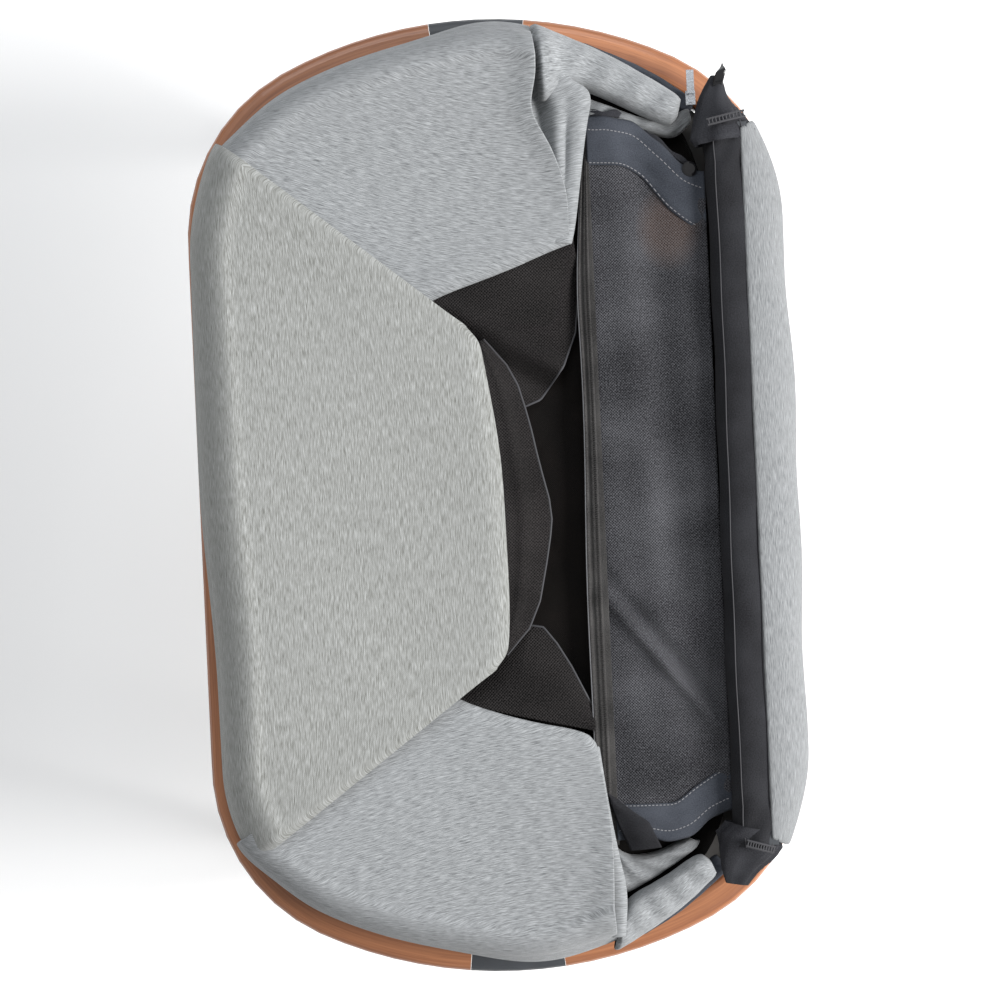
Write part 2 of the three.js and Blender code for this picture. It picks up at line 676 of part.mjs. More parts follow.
function buildCuffs() {
  const head = [
    [-32, 8],
    [22, 9],
    [11, 46],
    [0, 66],
    [-7, 64],
    [-18, 44],
  ];
  const foot = [
    [-40, 14],
    [-32, 37],
    [-18, 54],
    [-9, 56],
    [10, 35],
    [20, 9],
  ];
  add("cuff_head", cuff(head, 1), CHARCOAL);
  add("cuff_foot", cuff(foot, -1), CHARCOAL);
}

const panelShare = (x) => (PANEL_OUTER_X - x) / (PANEL_OUTER_X - PANEL_INNER_X);
const panelHeight = (x) => PANEL_HEIGHT - PANEL_DROP * panelShare(x);

function buildPanel() {
  const joint = PANEL_INNER_X + TAPE_WIDTH;
  const corner = (x, y) => new THREE.Vector2(x, (y * RING_LENGTH) / 2);
  const net = new THREE.Shape([
    corner(joint + GAP, PANEL_HEAD),
    corner(joint + GAP, PANEL_FOOT),
    corner(PANEL_FOOT_CORNER * (RING_WIDTH / 2), PANEL_FOOT),
    corner(PANEL_OUTER_X, PANEL_FOOT_SHOULDER),
    corner(PANEL_OUTER_X, PANEL_HEAD_SHOULDER),
    corner(PANEL_HEAD_CORNER * (RING_WIDTH / 2), PANEL_HEAD),
  ]);
  const body = plate(net, PANEL_HEIGHT, PANEL_HEIGHT + PANEL_THICKNESS);
  add("mesh_panel", slope(body, panelShare, PANEL_DROP), NET);
  const length = [(PANEL_FOOT * RING_LENGTH) / 2, (PANEL_HEAD * RING_LENGTH) / 2];
  const level = PANEL_HEIGHT + PANEL_THICKNESS - TAPE_THICKNESS;
  const tape = block(PANEL_INNER_X, joint, ...length, level, level + TAPE_THICKNESS);
  add("zip_tape", slope(tape, panelShare, PANEL_DROP), CHARCOAL);
  const snap = plan(0.676, 0.646);
  const z = panelHeight(snap.x + SNAP_RADIUS) + PANEL_THICKNESS + 2 * GAP;
  const cap = turned([
    [0, z],
    [SNAP_RADIUS, z],
    [SNAP_RADIUS, z + SNAP_THICKNESS / 2],
    [SNAP_RADIUS - SNAP_CHAMFER, z + SNAP_THICKNESS],
    [0, z + SNAP_THICKNESS],
  ]);
  add("snap_cap", cap.translate(snap.x, snap.y, 0), GLOSS);
}

/** Zip slider parked on the head roll's end, and the pull that hangs from it. */
function buildZip() {
  const park = new THREE.Vector2(RAIL_X - PARK_INSIDE_RAIL, RAIL_HALF + PARK_BEYOND_RAIL);
  const z = RING_TOP + 2 * GAP + ROLL_DEPTH;
  const half = SLIDER_WIDTH / 2;
  const y0 = park.y - SLIDER_LENGTH / 2;
  const y1 = park.y + SLIDER_LENGTH / 2;
  const body = block(park.x - half, park.x + half, y0, y1, z, z + SLIDER_HEIGHT - SLIDER_STEP);
  const bridge = block(
    park.x - SLIDER_BRIDGE / 2,
    park.x + SLIDER_BRIDGE / 2,
    y0 + SLIDER_STEP,
    y1 - SLIDER_STEP,
    z + CUT_OVERRUN,
    z + SLIDER_HEIGHT,
  );
  add("zip_slider_head", join(body, bridge), BRIGHT);
  const low = z + SLIDER_HEIGHT + GAP;
  const start = y1 - 2 * PULL_THICKNESS;
  const pull = block(
    park.x - PULL_WIDTH / 2,
    park.x + PULL_WIDTH / 2,
    start,
    start + PULL_LENGTH,
    low,
    low + PULL_THICKNESS,
  );
  add("zip_pull_head", pull, BRIGHT);
}

// ---- Mesh linings ----
/** Thin mesh piece that slopes down from its seam line, seam[0] to seam[1]. */
function lining(shape, seam, top, drop) {
  const along = seam[1].clone().sub(seam[0]).normalize();
  const away = new THREE.Vector2(along.y, -along.x);
  const reach = (x, y) => Math.abs(new THREE.Vector2(x, y).sub(seam[0]).dot(away)) / LINING_REACH;
  return slope(plate(shape, top - MESH, top), reach, drop);
}

function buildLinings() {
  const bow = LEFT_INNER_HEAD.clone().add(LEFT_INNER_FOOT).multiplyScalar(0.25);
  const seamX = bow.x + LEFT_INNER_BOW.x / 2 + GAP;
  const seam = [new THREE.Vector2(seamX, plan(0, 0.27).y), new THREE.Vector2(seamX, plan(0, -0.3).y)];
  const deep = plan(0.33, -0.03);
  const band = new THREE.Shape().moveTo(seam[1].x, seam[1].y);
  band.quadraticCurveTo(deep.x, deep.y, seam[0].x, seam[0].y);
  add("mesh_band_left", lining(band, seam, LINING_TOP, BAND_DROP), NET);
  const head = [plan(-0.119, 0.418), plan(0.266, 0.4935)];
  const headNet = [...head, plan(0.267, 0.284), plan(0.136, 0.162), plan(0.059, 0.299)];
  const foot = [plan(-0.125, -0.43), plan(0.259, -0.483)];
  const footNet = [...foot, plan(0.266, -0.448), plan(0.125, -0.262), plan(0.04, -0.345)];
  const lower = LINING_TOP - GUSSET_BELOW_BAND;
  add("mesh_gusset_head", lining(new THREE.Shape(headNet), head, lower, GUSSET_DROP), NET);
  add("mesh_gusset_foot", lining(new THREE.Shape(footNet), foot, lower, GUSSET_DROP), NET);
}

buildRing();
buildBed();
buildStandEnd("head", 1);
buildStandEnd("foot", -1);
buildWalls();
buildFlaps();
buildRail();
add("skirt_open_side", skirt(), HEATHER);
buildRolls();
buildCuffs();
buildPanel();
buildZip();
buildLinings();

export default bassinet;
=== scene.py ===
"""Bassinet on a folding stand, in metres: the soft pieces, the finishes, the light and the camera."""

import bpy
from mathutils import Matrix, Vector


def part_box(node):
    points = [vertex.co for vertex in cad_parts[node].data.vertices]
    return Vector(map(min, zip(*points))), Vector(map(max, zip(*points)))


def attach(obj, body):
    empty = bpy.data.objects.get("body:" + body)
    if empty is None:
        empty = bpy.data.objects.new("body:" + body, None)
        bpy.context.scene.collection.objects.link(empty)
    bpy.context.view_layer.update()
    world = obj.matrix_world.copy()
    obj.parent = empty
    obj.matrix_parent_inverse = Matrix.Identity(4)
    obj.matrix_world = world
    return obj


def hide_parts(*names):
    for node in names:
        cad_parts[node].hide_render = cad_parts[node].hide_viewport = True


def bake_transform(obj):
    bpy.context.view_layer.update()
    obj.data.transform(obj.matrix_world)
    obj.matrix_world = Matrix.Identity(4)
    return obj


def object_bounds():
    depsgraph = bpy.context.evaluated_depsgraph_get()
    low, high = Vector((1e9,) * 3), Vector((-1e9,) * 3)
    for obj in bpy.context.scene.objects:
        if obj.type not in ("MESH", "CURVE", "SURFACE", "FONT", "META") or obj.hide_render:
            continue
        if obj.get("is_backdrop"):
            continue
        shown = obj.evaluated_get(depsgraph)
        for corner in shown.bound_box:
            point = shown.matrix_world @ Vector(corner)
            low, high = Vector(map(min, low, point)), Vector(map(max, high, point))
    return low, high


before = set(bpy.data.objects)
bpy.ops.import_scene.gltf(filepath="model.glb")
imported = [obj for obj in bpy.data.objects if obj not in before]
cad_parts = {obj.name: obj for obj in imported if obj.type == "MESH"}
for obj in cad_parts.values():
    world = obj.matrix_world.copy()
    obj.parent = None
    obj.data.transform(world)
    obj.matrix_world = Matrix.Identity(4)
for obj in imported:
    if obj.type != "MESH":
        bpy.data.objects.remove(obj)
import math

import bmesh
import bpy
from mathutils import Vector

CAD_LOW, CAD_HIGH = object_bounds()

# ---- Camera: straight down over the bed, turned a little ----
CAMERA_ABOVE_RING = 2.0
VIEW_WIDTH = 0.963  # width seen at the level of the ring
CAMERA_TURN = math.radians(-2.6)

ring_low, ring_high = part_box("ring_bow_right")
ring_level = (ring_low[2] + ring_high[2]) / 2
camera = bpy.data.objects.new("camera", bpy.data.cameras.new("camera"))
camera.data.lens = 36 * CAMERA_ABOVE_RING / VIEW_WIDTH
camera.data.sensor_width = 36
camera.location = (0.0027, -0.0049, ring_level + CAMERA_ABOVE_RING)
camera.rotation_euler = (0, 0, CAMERA_TURN)
bpy.context.scene.collection.objects.link(camera)
bpy.context.scene.camera = camera

# ---- Sizes taken from the frame ----
HALF_W = CAD_HIGH[0]
HALF_L = CAD_HIGH[1]
RING_TOP = ring_high[2]
FOLD_Z = 0.530
END_R = 0.743 * 2 * HALF_W
CORNER_R = 0.315 * 2 * HALF_W


def clamp(t, a=0.0, b=1.0):
    return max(a, min(b, t))


def mix(a, b, t):
    return a + (b - a) * t


def ease(t):
    t = clamp(t)
    return t * t * (3 - 2 * t)


def bump(t, at, width):
    return math.exp(-(((t - at) / width) ** 2))


class Outline:
    """Rounded plan of the ring drawn in by an inset; q counts quarter turns clockwise from the head."""

    def __init__(self, side, end=None):
        end = side if end is None else end
        self.w = HALF_W - side
        self.r = CORNER_R - side
        self.R = END_R - end
        self.ey = HALF_L - end - self.R
        self.cx = self.w - self.r
        reach = self.R - self.r
        self.cy = self.ey + math.sqrt(reach**2 - self.cx**2)
        self.turn = math.asin(self.cx / reach)
        self.l1 = self.R * self.turn
        self.l2 = self.r * (math.pi / 2 - self.turn)
        self.l = self.l1 + self.l2 + self.cy

    def quarter(self, f):
        s = f * self.l
        if s < self.l1:
            a = s / self.R
            return self.R * math.sin(a), self.ey + self.R * math.cos(a)
        s -= self.l1
        if s < self.l2:
            a = self.turn + s / self.r
            return self.cx + self.r * math.sin(a), self.cy + self.r * math.cos(a)
        return self.w, self.cy - (s - self.l2)

    def at(self, q):
        q %= 4
        k, f = int(q), q - int(q)
        x, y = self.quarter(1 - f if k % 2 else f)
        return (-x if k > 1 else x), (-y if k in (1, 2) else y)


# ---- Mesh helpers ----
def link(obj):
    bpy.context.scene.collection.objects.link(obj)
    return obj


def grid(name, fn, nu, nv, material, uv=None):
    """A surface from fn(u, v); uv(u, v) gives texture metres along and across the cloth's knit."""
    verts = [fn(i / nu, j / nv) for i in range(nu + 1) for j in range(nv + 1)]
    faces = [
        (i * (nv + 1) + j, (i + 1) * (nv + 1) + j, (i + 1) * (nv + 1) + j + 1, i * (nv + 1) + j + 1)
        for i in range(nu)
        for j in range(nv)
    ]
    mesh = bpy.data.meshes.new(name)
    mesh.from_pydata([tuple(v) for v in verts], [], faces)
    layer = mesh.uv_layers.new(name="UVMap")
    for poly in mesh.polygons:
        for li, vi in zip(poly.loop_indices, poly.vertices):
            i, j = divmod(vi, nv + 1)
            p = verts[vi]
            layer.data[li].uv = uv(i / nu, j / nv, p) if uv else (p[1], p[0])
    mesh.shade_smooth()
    mesh.materials.append(material)
    obj = link(bpy.data.objects.new(name, mesh))
    bm = bmesh.new()
    bm.from_mesh(mesh)
    bmesh.ops.remove_doubles(bm, verts=bm.verts, dist=1e-6)
    bm.to_mesh(mesh)
    bm.free()
    return obj


def thicken(obj, thickness, offset=-1.0, levels=1):
    solid = obj.modifiers.new("cloth", "SOLIDIFY")
    solid.thickness = thickness
    solid.offset = offset
    sub = obj.modifiers.new("smooth", "SUBSURF")
    sub.levels = sub.render_levels = levels
    return obj


def tube(name, points, radius, material, sides=8, cyclic=False):
    """A round cord of cloth or wire along points, as a mesh."""
    curve = bpy.data.curves.new(name, "CURVE")
    curve.dimensions = "3D"
    curve.bevel_depth = radius
    curve.bevel_resolution = max(1, sides // 4)
    curve.use_fill_caps = not cyclic
    line = curve.splines.new("POLY")
    line.points.add(len(points) - 1)
    for point, p in zip(line.points, points):
        point.co = (*p, 1)
    line.use_cyclic_u = cyclic
    made = link(bpy.data.objects.new(name, curve))
    depsgraph = bpy.context.evaluated_depsgraph_get()
    mesh = bpy.data.meshes.new_from_object(made.evaluated_get(depsgraph))
    bpy.data.objects.remove(made)
    mesh.materials.clear()
    mesh.materials.append(material)
    mesh.shade_smooth()
    return link(bpy.data.objects.new(name, mesh))


def joined(name, objects):
    """Several small meshes as one piece."""
    bm = bmesh.new()
    for o in objects:
        o.data.transform(o.matrix_world)
        bm.from_mesh(o.data)
    mesh = bpy.data.meshes.new(name)
    bm.to_mesh(mesh)
    bm.free()
    for slot in objects[0].data.materials:
        mesh.materials.append(slot)
    for o in objects:
        bpy.data.objects.remove(o)
    mesh.shade_smooth()
    return link(bpy.data.objects.new(name, mesh))


# ---- Shader maths ----
class S:
    """A socket, or a number, in one material's tree."""

    def __init__(self, tree, socket):
        self.tree, self.socket = tree, socket

    def _do(self, op, *args):
        return self.tree.add("ShaderNodeMath", {"operation": op}, self, *args)

    def __add__(self, o):
        return self._do("ADD", o)

    def __sub__(self, o):
        return self._do("SUBTRACT", o)

    def __mul__(self, o):
        return self._do("MULTIPLY", o)

    def __truediv__(self, o):
        return self._do("DIVIDE", o)

    __radd__ = __add__
    __rmul__ = __mul__

    def __rsub__(self, o):
        return self.tree.add("ShaderNodeMath", {"operation": "SUBTRACT"}, o, self)

    def abs(self):
        return self._do("ABSOLUTE")

    def sin(self):
        return self._do("SINE")

    def power(self, o):
        return self._do("POWER", o)

    def max(self, o):
        return self._do("MAXIMUM", o)

    def min(self, o):
        return self._do("MINIMUM", o)

    def less(self, o):
        return self._do("LESS_THAN", o)


class Tree:
    def __init__(self, name):
        self.material = bpy.data.materials.new(name)
        self.material.use_nodes = True
        self.nodes = self.material.node_tree.nodes
        self.links = self.material.node_tree.links
        self.shader = self.nodes["Principled BSDF"]

    def add(self, kind, settings=None, *values, out=0):
        node = self.nodes.new(kind)
        for key, value in (settings or {}).items():
            setattr(node, key, value)
        for k, value in enumerate(values):
            self.put(node.inputs[k], value)
        return S(self, node.outputs[out])

    def put(self, target, value):
        if isinstance(value, S):
            self.links.new(value.socket, target)
        elif value is not None:
            target.default_value = value

    def coords(self, kind="UV"):
        node = self.nodes.new("ShaderNodeTexCoord")
        return S(self, node.outputs[kind])

    def split(self, vector):
        node = self.nodes.new("ShaderNodeSeparateXYZ")
        self.links.new(vector.socket, node.inputs[0])
        return [S(self, o) for o in node.outputs]

    def vector(self, x, y, z=0.0):
        return self.add("ShaderNodeCombineXYZ", {}, x, y, z)

    def noise(self, vector, scale=1.0, detail=2.0, roughness=0.5):
        node = self.nodes.new("ShaderNodeTexNoise")
        self.links.new(vector.socket, node.inputs["Vector"])
        node.inputs["Scale"].default_value = scale
        node.inputs["Detail"].default_value = detail
        node.inputs["Roughness"].default_value = roughness
        return S(self, node.outputs[0])

    def fit(self, value, a, b, lo=0.0, hi=1.0):
        return self.add("ShaderNodeMapRange", {}, value, a, b, lo, hi)

    def blend(self, factor, a, b):
        node = self.nodes.new("ShaderNodeMix")
        node.data_type = "RGBA"
        self.put(node.inputs[0], factor)
        for target, value in ((node.inputs[6], a), (node.inputs[7], b)):
            self.put(target, value if isinstance(value, S) else (*value, 1.0))
        return S(self, node.outputs[2])

    def bump(self, height, distance, strength=1.0):
        node = self.nodes.new("ShaderNodeBump")
        node.inputs["Distance"].default_value = distance
        node.inputs["Strength"].default_value = strength
        self.links.new(height.socket, node.inputs["Height"])
        self.links.new(node.outputs[0], self.shader.inputs["Normal"])

    def set(self, **values):
        for key, value in values.items():
            name = key.replace("_", " ").title().replace("Ior", "IOR")
            if key in ("base_color", "sheen_tint") and not isinstance(value, S):
                value = (*value, 1.0)
            self.put(self.shader.inputs[name], value)
        return self.material


def heather(name, tone=1.0, warm=0.0):
    """Melange jersey over foam: fine light and dark streaks along the knit, texture u."""
    t = Tree(name)
    u, v, _ = t.split(t.coords())
    fine = t.noise(t.vector(u * 120.0, v * 2100.0), 1.0, 2.0, 0.65)
    broad = t.noise(t.vector(u * 75.0, v * 1150.0, 4.0), 1.0, 2.0, 0.6)
    cloud = t.noise(t.vector(u * 6.0, v * 9.0, 9.0), 1.0, 2.0, 0.5)
    knit = (v * 4200.0).sin() * (u * 3600.0).sin()
    fleck = t.fit(fine * 0.55 + broad * 0.45, 0.34, 0.66)
    # tone below 1 darkens a copy as painted shade; warm tints a copy as a painted warm reflection.
    dark = tuple(c * tone for c in (0.078 + warm, 0.083 + warm * 0.6, 0.087 - warm))
    light = tuple(c * tone for c in (0.345 + warm, 0.358 + warm * 0.6, 0.368 - warm))
    color = t.blend(fleck, dark, light)
    color = t.blend(t.fit(cloud, 0.35, 0.7, 0.0, 0.16), color, tuple(0.62 * c for c in light))
    t.bump(knit * 0.3 + fleck, 0.0004, 0.35)
    return t.set(base_color=color, roughness=0.95, sheen_weight=0.08, sheen_roughness=0.5)


def weave(name, low, high, pitch=0.0011, rough=0.82):
    """Plain-woven dark cloth."""
    t = Tree(name)
    u, v, _ = t.split(t.coords())
    k = math.tau / pitch
    threads = (u * k).sin() * (v * k).sin()
    patch = t.noise(t.vector(u * 22.0, v * 22.0), 1.0, 3.0)
    speck = t.noise(t.vector(u * 900.0, v * 900.0), 1.0, 1.0)
    color = t.blend(t.fit(patch * 0.5 + speck * 0.5, 0.36, 0.64), low, high)
    t.bump(threads, 0.0003, 0.5)
    return t.set(base_color=color, roughness=rough, sheen_weight=0.02, specular_ior_level=0.12)


def netting(name, low, high, pitch=0.0026, hole=0.34, shows_bow=False):
    """Warp-knit mesh: rows of small round holes set diagonally."""
    t = Tree(name)
    u, v, _ = t.split(t.coords())
    k = math.pi / pitch
    cells = ((u + v) * k).sin().abs() * ((u - v) * k).sin().abs()
    opening = t.fit(cells, 1.0 - hole, 1.0 - hole + 0.22)
    patch = t.noise(t.vector(u * 9.0, v * 14.0), 1.0, 3.0)
    speck = t.noise(t.vector(u * 620.0, v * 620.0), 1.0, 1.0)
    color = t.blend(t.fit(patch * 0.45 + speck * 0.55, 0.35, 0.65), low, high)
    color = t.blend(cells * 0.75, color, low)
    if shows_bow:
        far = ((u - 0.172) * (u - 0.172) * 1.7 + (v - 0.243) * (v - 0.243)).power(0.5)
        color = t.blend(t.fit(far, 0.042, 0.020, 0.0, 0.35), color, (0.13, 0.085, 0.065))
    t.bump(1.0 - cells, 0.0007, 0.8)
    alpha = 1.0 - opening * 0.6
    return t.set(base_color=color, roughness=0.7, alpha=alpha, sheen_weight=0.02, specular_ior_level=0.1)


def wood(name, along_x=False):
    """Lacquered bent wood; the grain follows the ring, or runs along X on a straight bar."""
    t = Tree(name)
    x, y, z = t.split(t.coords("Object"))
    if along_x:
        along, across = x, y
    else:
        o = Outline(0.0)
        a, b = x.abs(), y.abs()
        dx, dy = (a - o.cx).max(0.0), (b - o.cy).max(0.0)
        corner = (dx * dx + dy * dy).power(0.5) - o.r
        rise = b - o.ey
        end = (a * a + rise * rise).power(0.5) - o.R
        crown = a.less((b - o.ey).max(0.001) * math.tan(o.turn))
        across = corner + (end - corner) * crown
        along = t.add("ShaderNodeMath", {"operation": "ARCTAN2"}, y, x) * 0.4
    fibre = t.noise(t.vector(along * 9.0, across * 520.0, z * 520.0), 1.0, 4.0, 0.6)
    band = t.noise(t.vector(along * 3.0, across * 90.0, z * 90.0), 1.0, 2.0)
    pores = t.noise(t.vector(along * 40.0, across * 1500.0, z * 1500.0), 1.0, 1.0)
    tone = t.fit(fibre * 0.5 + band * 0.5, 0.34, 0.66)
    color = t.blend(tone, (0.185, 0.062, 0.024), (0.40, 0.165, 0.073))
    color = t.blend(t.fit(pores, 0.6, 0.72, 0.0, 0.45), color, (0.16, 0.06, 0.03))
    t.bump(fibre, 0.0003, 0.25)
    rough = t.fit(tone, 0.0, 1.0, 0.5, 0.38)
    return t.set(base_color=color, roughness=rough, coat_weight=0.15)


def moulded(name, base, rough=0.5, metal=0.0, grain=900.0, depth=0.0002, wear=0.25):
    """Moulded, coated or plated surface with a fine texture and slightly rubbed patches."""
    t = Tree(name)
    where = t.coords("Object")
    fine = t.noise(where, grain, 2.0)
    patch = t.noise(where, 18.0, 3.0)
    worn = t.fit(patch, 0.5, 0.75, 0.0, wear)
    color = t.blend(worn, base, tuple(min(1.0, c * 1.7 + 0.02) for c in base))
    t.bump(fine, depth, 0.4)
    roughness = t.fit(patch, 0.3, 0.7, rough * 0.85, rough * 1.15)
    return t.set(base_color=color, roughness=roughness, metallic=metal)


HEATHER = heather("heather jersey")
# Left flap: a slightly darker, warmer copy of the heather, with painted shade and a painted warm reflection of
# the wooden ring.
HEATHER_LEFT_PAINTED_REFLECTION = heather("heather jersey left painted reflection", 0.98, 0.010)
# Darker copy of the same heather for the open side's skirt and the corners' inner folds: painted shade.
HEATHER_PAINTED_SHADE = heather("heather jersey painted shade", 0.76)
TAPE = weave("zip tape", (0.016, 0.0155, 0.0155), (0.060, 0.058, 0.057), 0.0016)
SLEEVE = weave("rail sleeve cloth", (0.010, 0.010, 0.0115), (0.024, 0.0245, 0.028))
TRIM = weave("charcoal trim", (0.030, 0.034, 0.043), (0.060, 0.066, 0.080))
CUFF = weave("cuff cloth", (0.014, 0.014, 0.017), (0.040, 0.041, 0.047))
# Charcoal mattress cover darkened almost to black: painted shade of the basket's deep interior.
COVER_PAINTED_SHADE = weave("mattress cover painted shade", (0.0016, 0.0012, 0.001), (0.005, 0.0036, 0.003), 0.002)
NET = netting("mesh side net", (0.012, 0.012, 0.014), (0.105, 0.106, 0.116), 0.0027, 0.3, True)
# Same mesh as the side net, darkened for the linings under the flaps: painted shade.
NET_PAINTED_SHADE = netting("lining net painted shade", (0.004, 0.0036, 0.0036), (0.030, 0.027, 0.027), 0.0030, 0.3)
WOOD = wood("bent wood")
WOOD_BAR = wood("straight wood", True)
SLATE = moulded("slate plastic", (0.034, 0.038, 0.044), 0.5)
COATED = moulded("coated steel", (0.034, 0.037, 0.042), 0.42, 0.4)
PLATED = moulded("plated metal", (0.55, 0.57, 0.6), 0.25, 1.0, 300.0)
RUBBER = moulded("rubber", (0.02, 0.02, 0.022), 0.8)
GLOSS = moulded("glossy black", (0.008, 0.008, 0.009), 0.16, 0.0, 300.0, 0.00005)
BOARD = moulded("dark laminate", (0.03, 0.028, 0.026), 0.6)
THREAD = moulded("sewing thread", (0.2, 0.2, 0.21), 0.7)
THREAD_DARK = moulded("dark thread", (0.03, 0.03, 0.034), 0.7)

for node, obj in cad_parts.items():
    paint = SLATE
    if node.startswith("ring_bow"):
        paint = WOOD
    elif node.startswith("floor_bar"):
        paint = WOOD_BAR
    elif node.startswith(("leg_tube", "cross_bar", "rail_core")):
        paint = COATED
    elif node.startswith(("hinge_pin", "zip_")):
        paint = PLATED
    elif node.startswith("floor_pad"):
        paint = RUBBER
    elif node.startswith(("lock_button", "snap")):
        paint = GLOSS
    elif node.startswith("deck"):
        paint = BOARD
    for s in obj.material_slots:
        s.material = paint


def plan(x, y):
    return x * HALF_W, y * HALF_L


# ---- Cloth surfaces between two lines in plan ----
CLOTH = 0.005


def ripple(x, y, seed):
    """Soft unevenness of foam-backed cloth, from -1 to 1."""
    wave = math.sin(13 * x + 7 * y + seed) + 0.6 * math.sin(29 * y - 11 * x + 2.1 * seed)
    return (wave + 0.4 * math.sin(47 * x + 31 * y + 0.7 * seed)) / 2


def polyline(points):
    """Even walk along points of any dimension, by share of its length."""
    spans = [math.dist(a, b) for a, b in zip(points, points[1:])]
    total = sum(spans)

    def at(u):
        s = clamp(u) * total
        for k, span in enumerate(spans):
            if s <= span or k == len(spans) - 1:
                t = clamp(s / span) if span else 0.0
                return tuple(mix(a, b, t) for a, b in zip(points[k], points[k + 1]))
            s -= span

    return at


def smooth_line(points, rounds=3):
    """A line through cut corners: each round trims every corner by a quarter."""
    for _ in range(rounds):
        cut = [points[0]]
        for a, b in zip(points, points[1:]):
            cut.append(tuple(mix(p, q, 0.25) for p, q in zip(a, b)))
            cut.append(tuple(mix(p, q, 0.75) for p, q in zip(a, b)))
        points = cut + [points[-1]]
    return polyline(points)


def uv_by_length(fn, nu, nv, knit):
    """Texture coordinates from the plan point and the run of cloth along v."""
    lengths = []
    for i in range(nu + 1):
        run, p = [0.0], Vector(fn(i / nu, 0))
        for j in range(1, nv + 1):
            n = Vector(fn(i / nu, j / nv))
            run.append(run[-1] + (n - p).length)
            p = n
        lengths.append(run)
    return lambda u, v, p: knit(p, lengths[round(u * nu)][round(v * nv)])


def bake(obj):
    """Applies the modifiers, so that a blend or a measure sees the final mesh."""
    depsgraph = bpy.context.evaluated_depsgraph_get()
    mesh = bpy.data.meshes.new_from_object(obj.evaluated_get(depsgraph))
    obj.modifiers.clear()
    obj.data = mesh
    mesh.shade_smooth()
    return obj


def cloth_solid(obj, thickness, levels=1):
    thicken(obj, thickness, 0.0, levels)
    return bake(obj)


def finish_piece(obj, body, slot, *nodes):
    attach(obj, body)
    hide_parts(*nodes)
    return obj


# ---- Walls that fold in: one cloth each, up the wall, round the roll and down the flap ----
WALL_SHARE, ROLL_SHARE = 0.26, 0.42


class FoldingCloth:
    """A wall and its flap. Insets are given along u, from 0 to 1 over the wall's length."""

    def __init__(self, name, span, foot, rim, inner, knit, inner_z, **more):
        self.name, self.span, self.foot, self.rim, self.inner = name, span, foot, rim, inner
        self.knit, self.inner_z = knit, inner_z
        self.radius = more.get("radius", 0.026)
        self.bow = more.get("bow")
        self.top = FOLD_Z + more.get("lift", 0.005)
        self.bulge = more.get("bulge", lambda u: 0.004)
        self.crown = more.get("crown", 0.004)
        self.seed = more.get("seed", 1.0)
        self.edge = more.get("edge", lambda u: 0.0)
        self.cloth = more.get("cloth", HEATHER)
        self.columns = {}

    def column(self, u):
        if u not in self.columns:
            q = mix(*self.span, u)
            low = Outline(*self.foot(u)).at(q)
            rim = Outline(*self.rim(u)).at(q)
            inner = self.inner(u)
            away = math.dist(rim, inner)
            normal = ((inner[0] - rim[0]) / away, (inner[1] - rim[1]) / away)
            self.columns[u] = low, rim, inner, away, normal
        return self.columns[u]

    def point(self, u, v):
        low, rim, inner, away, (nx, ny) = self.column(u)
        r, top = self.radius, self.top + self.edge(u)
        if v < WALL_SHARE:
            t = v / WALL_SHARE
            out = self.bulge(u) * math.sin(math.pi * t**1.4)
            x, y = mix(low[0], rim[0], t) - nx * out, mix(low[1], rim[1], t) - ny * out
            return x, y, mix(RING_TOP + 0.003, top - r, t)
        if v < ROLL_SHARE:
            a = (v - WALL_SHARE) / (ROLL_SHARE - WALL_SHARE) * math.pi / 2
            step = r * (1 - math.cos(a))
            return rim[0] + nx * step, rim[1] + ny * step, top - r + r * math.sin(a)
        t = (v - ROLL_SHARE) / (1 - ROLL_SHARE)
        k = mix(r / away, 1.0, t)
        x, y = mix(rim[0], inner[0], k), mix(rim[1], inner[1], k)
        if self.bow:
            dx, dy = self.bow(u, t)
            x, y = x + dx, y + dy
        z = mix(top, self.inner_z + CLOTH / 2, ease(k) * 0.35 + k * 0.65)
        body = math.sin(math.pi * clamp(t)) * math.sin(math.pi * clamp(u))
        z += 0.0015 * ripple(x, y, self.seed) * math.sin(math.pi * clamp(t)) - self.crown * body
        z -= 0.0045 * bump(t, 1.0, 0.035)
        return x, y, z

    def build(self, nu=80, nv=60):
        """Columns crowd towards both ends, where the cloth's edge turns down."""

        def point(u, v):
            return self.point(mix(u, (1 - math.cos(math.pi * u)) / 2, 0.8), v)

        made = grid(self.name, point, nu, nv, self.cloth, uv_by_length(point, nu, nv, self.knit))
        return cloth_solid(made, CLOTH)


left_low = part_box("flap_left")[0]
LEFT_Z = left_low[2]
LEFT_CORNERS = [plan(0.01, -0.352), plan(0.024, -0.02), plan(-0.04, 0.343)]


def left_edge(u):
    """Free edge of the left flap, foot to head: bowed, with rounded corners."""
    (ax, ay), (mx, my), (bx, by) = LEFT_CORNERS
    y = mix(ay, by, u)
    x = (1 - u) * (1 - 2 * u) * ax + 4 * u * (1 - u) * mx + u * (2 * u - 1) * bx
    x -= 0.010 * (bump(u, 0, 0.035) + bump(u, 1, 0.035))
    return x + 0.0006 * math.sin(40 * y), y


def left_rim(u):
    """Side inset of the left roll: closer to the ring over the head half."""
    return 0.0245 - 0.0095 * ease((u - 0.25) / 0.3), 0.036 - 0.012 * bump(u, 1, 0.06)


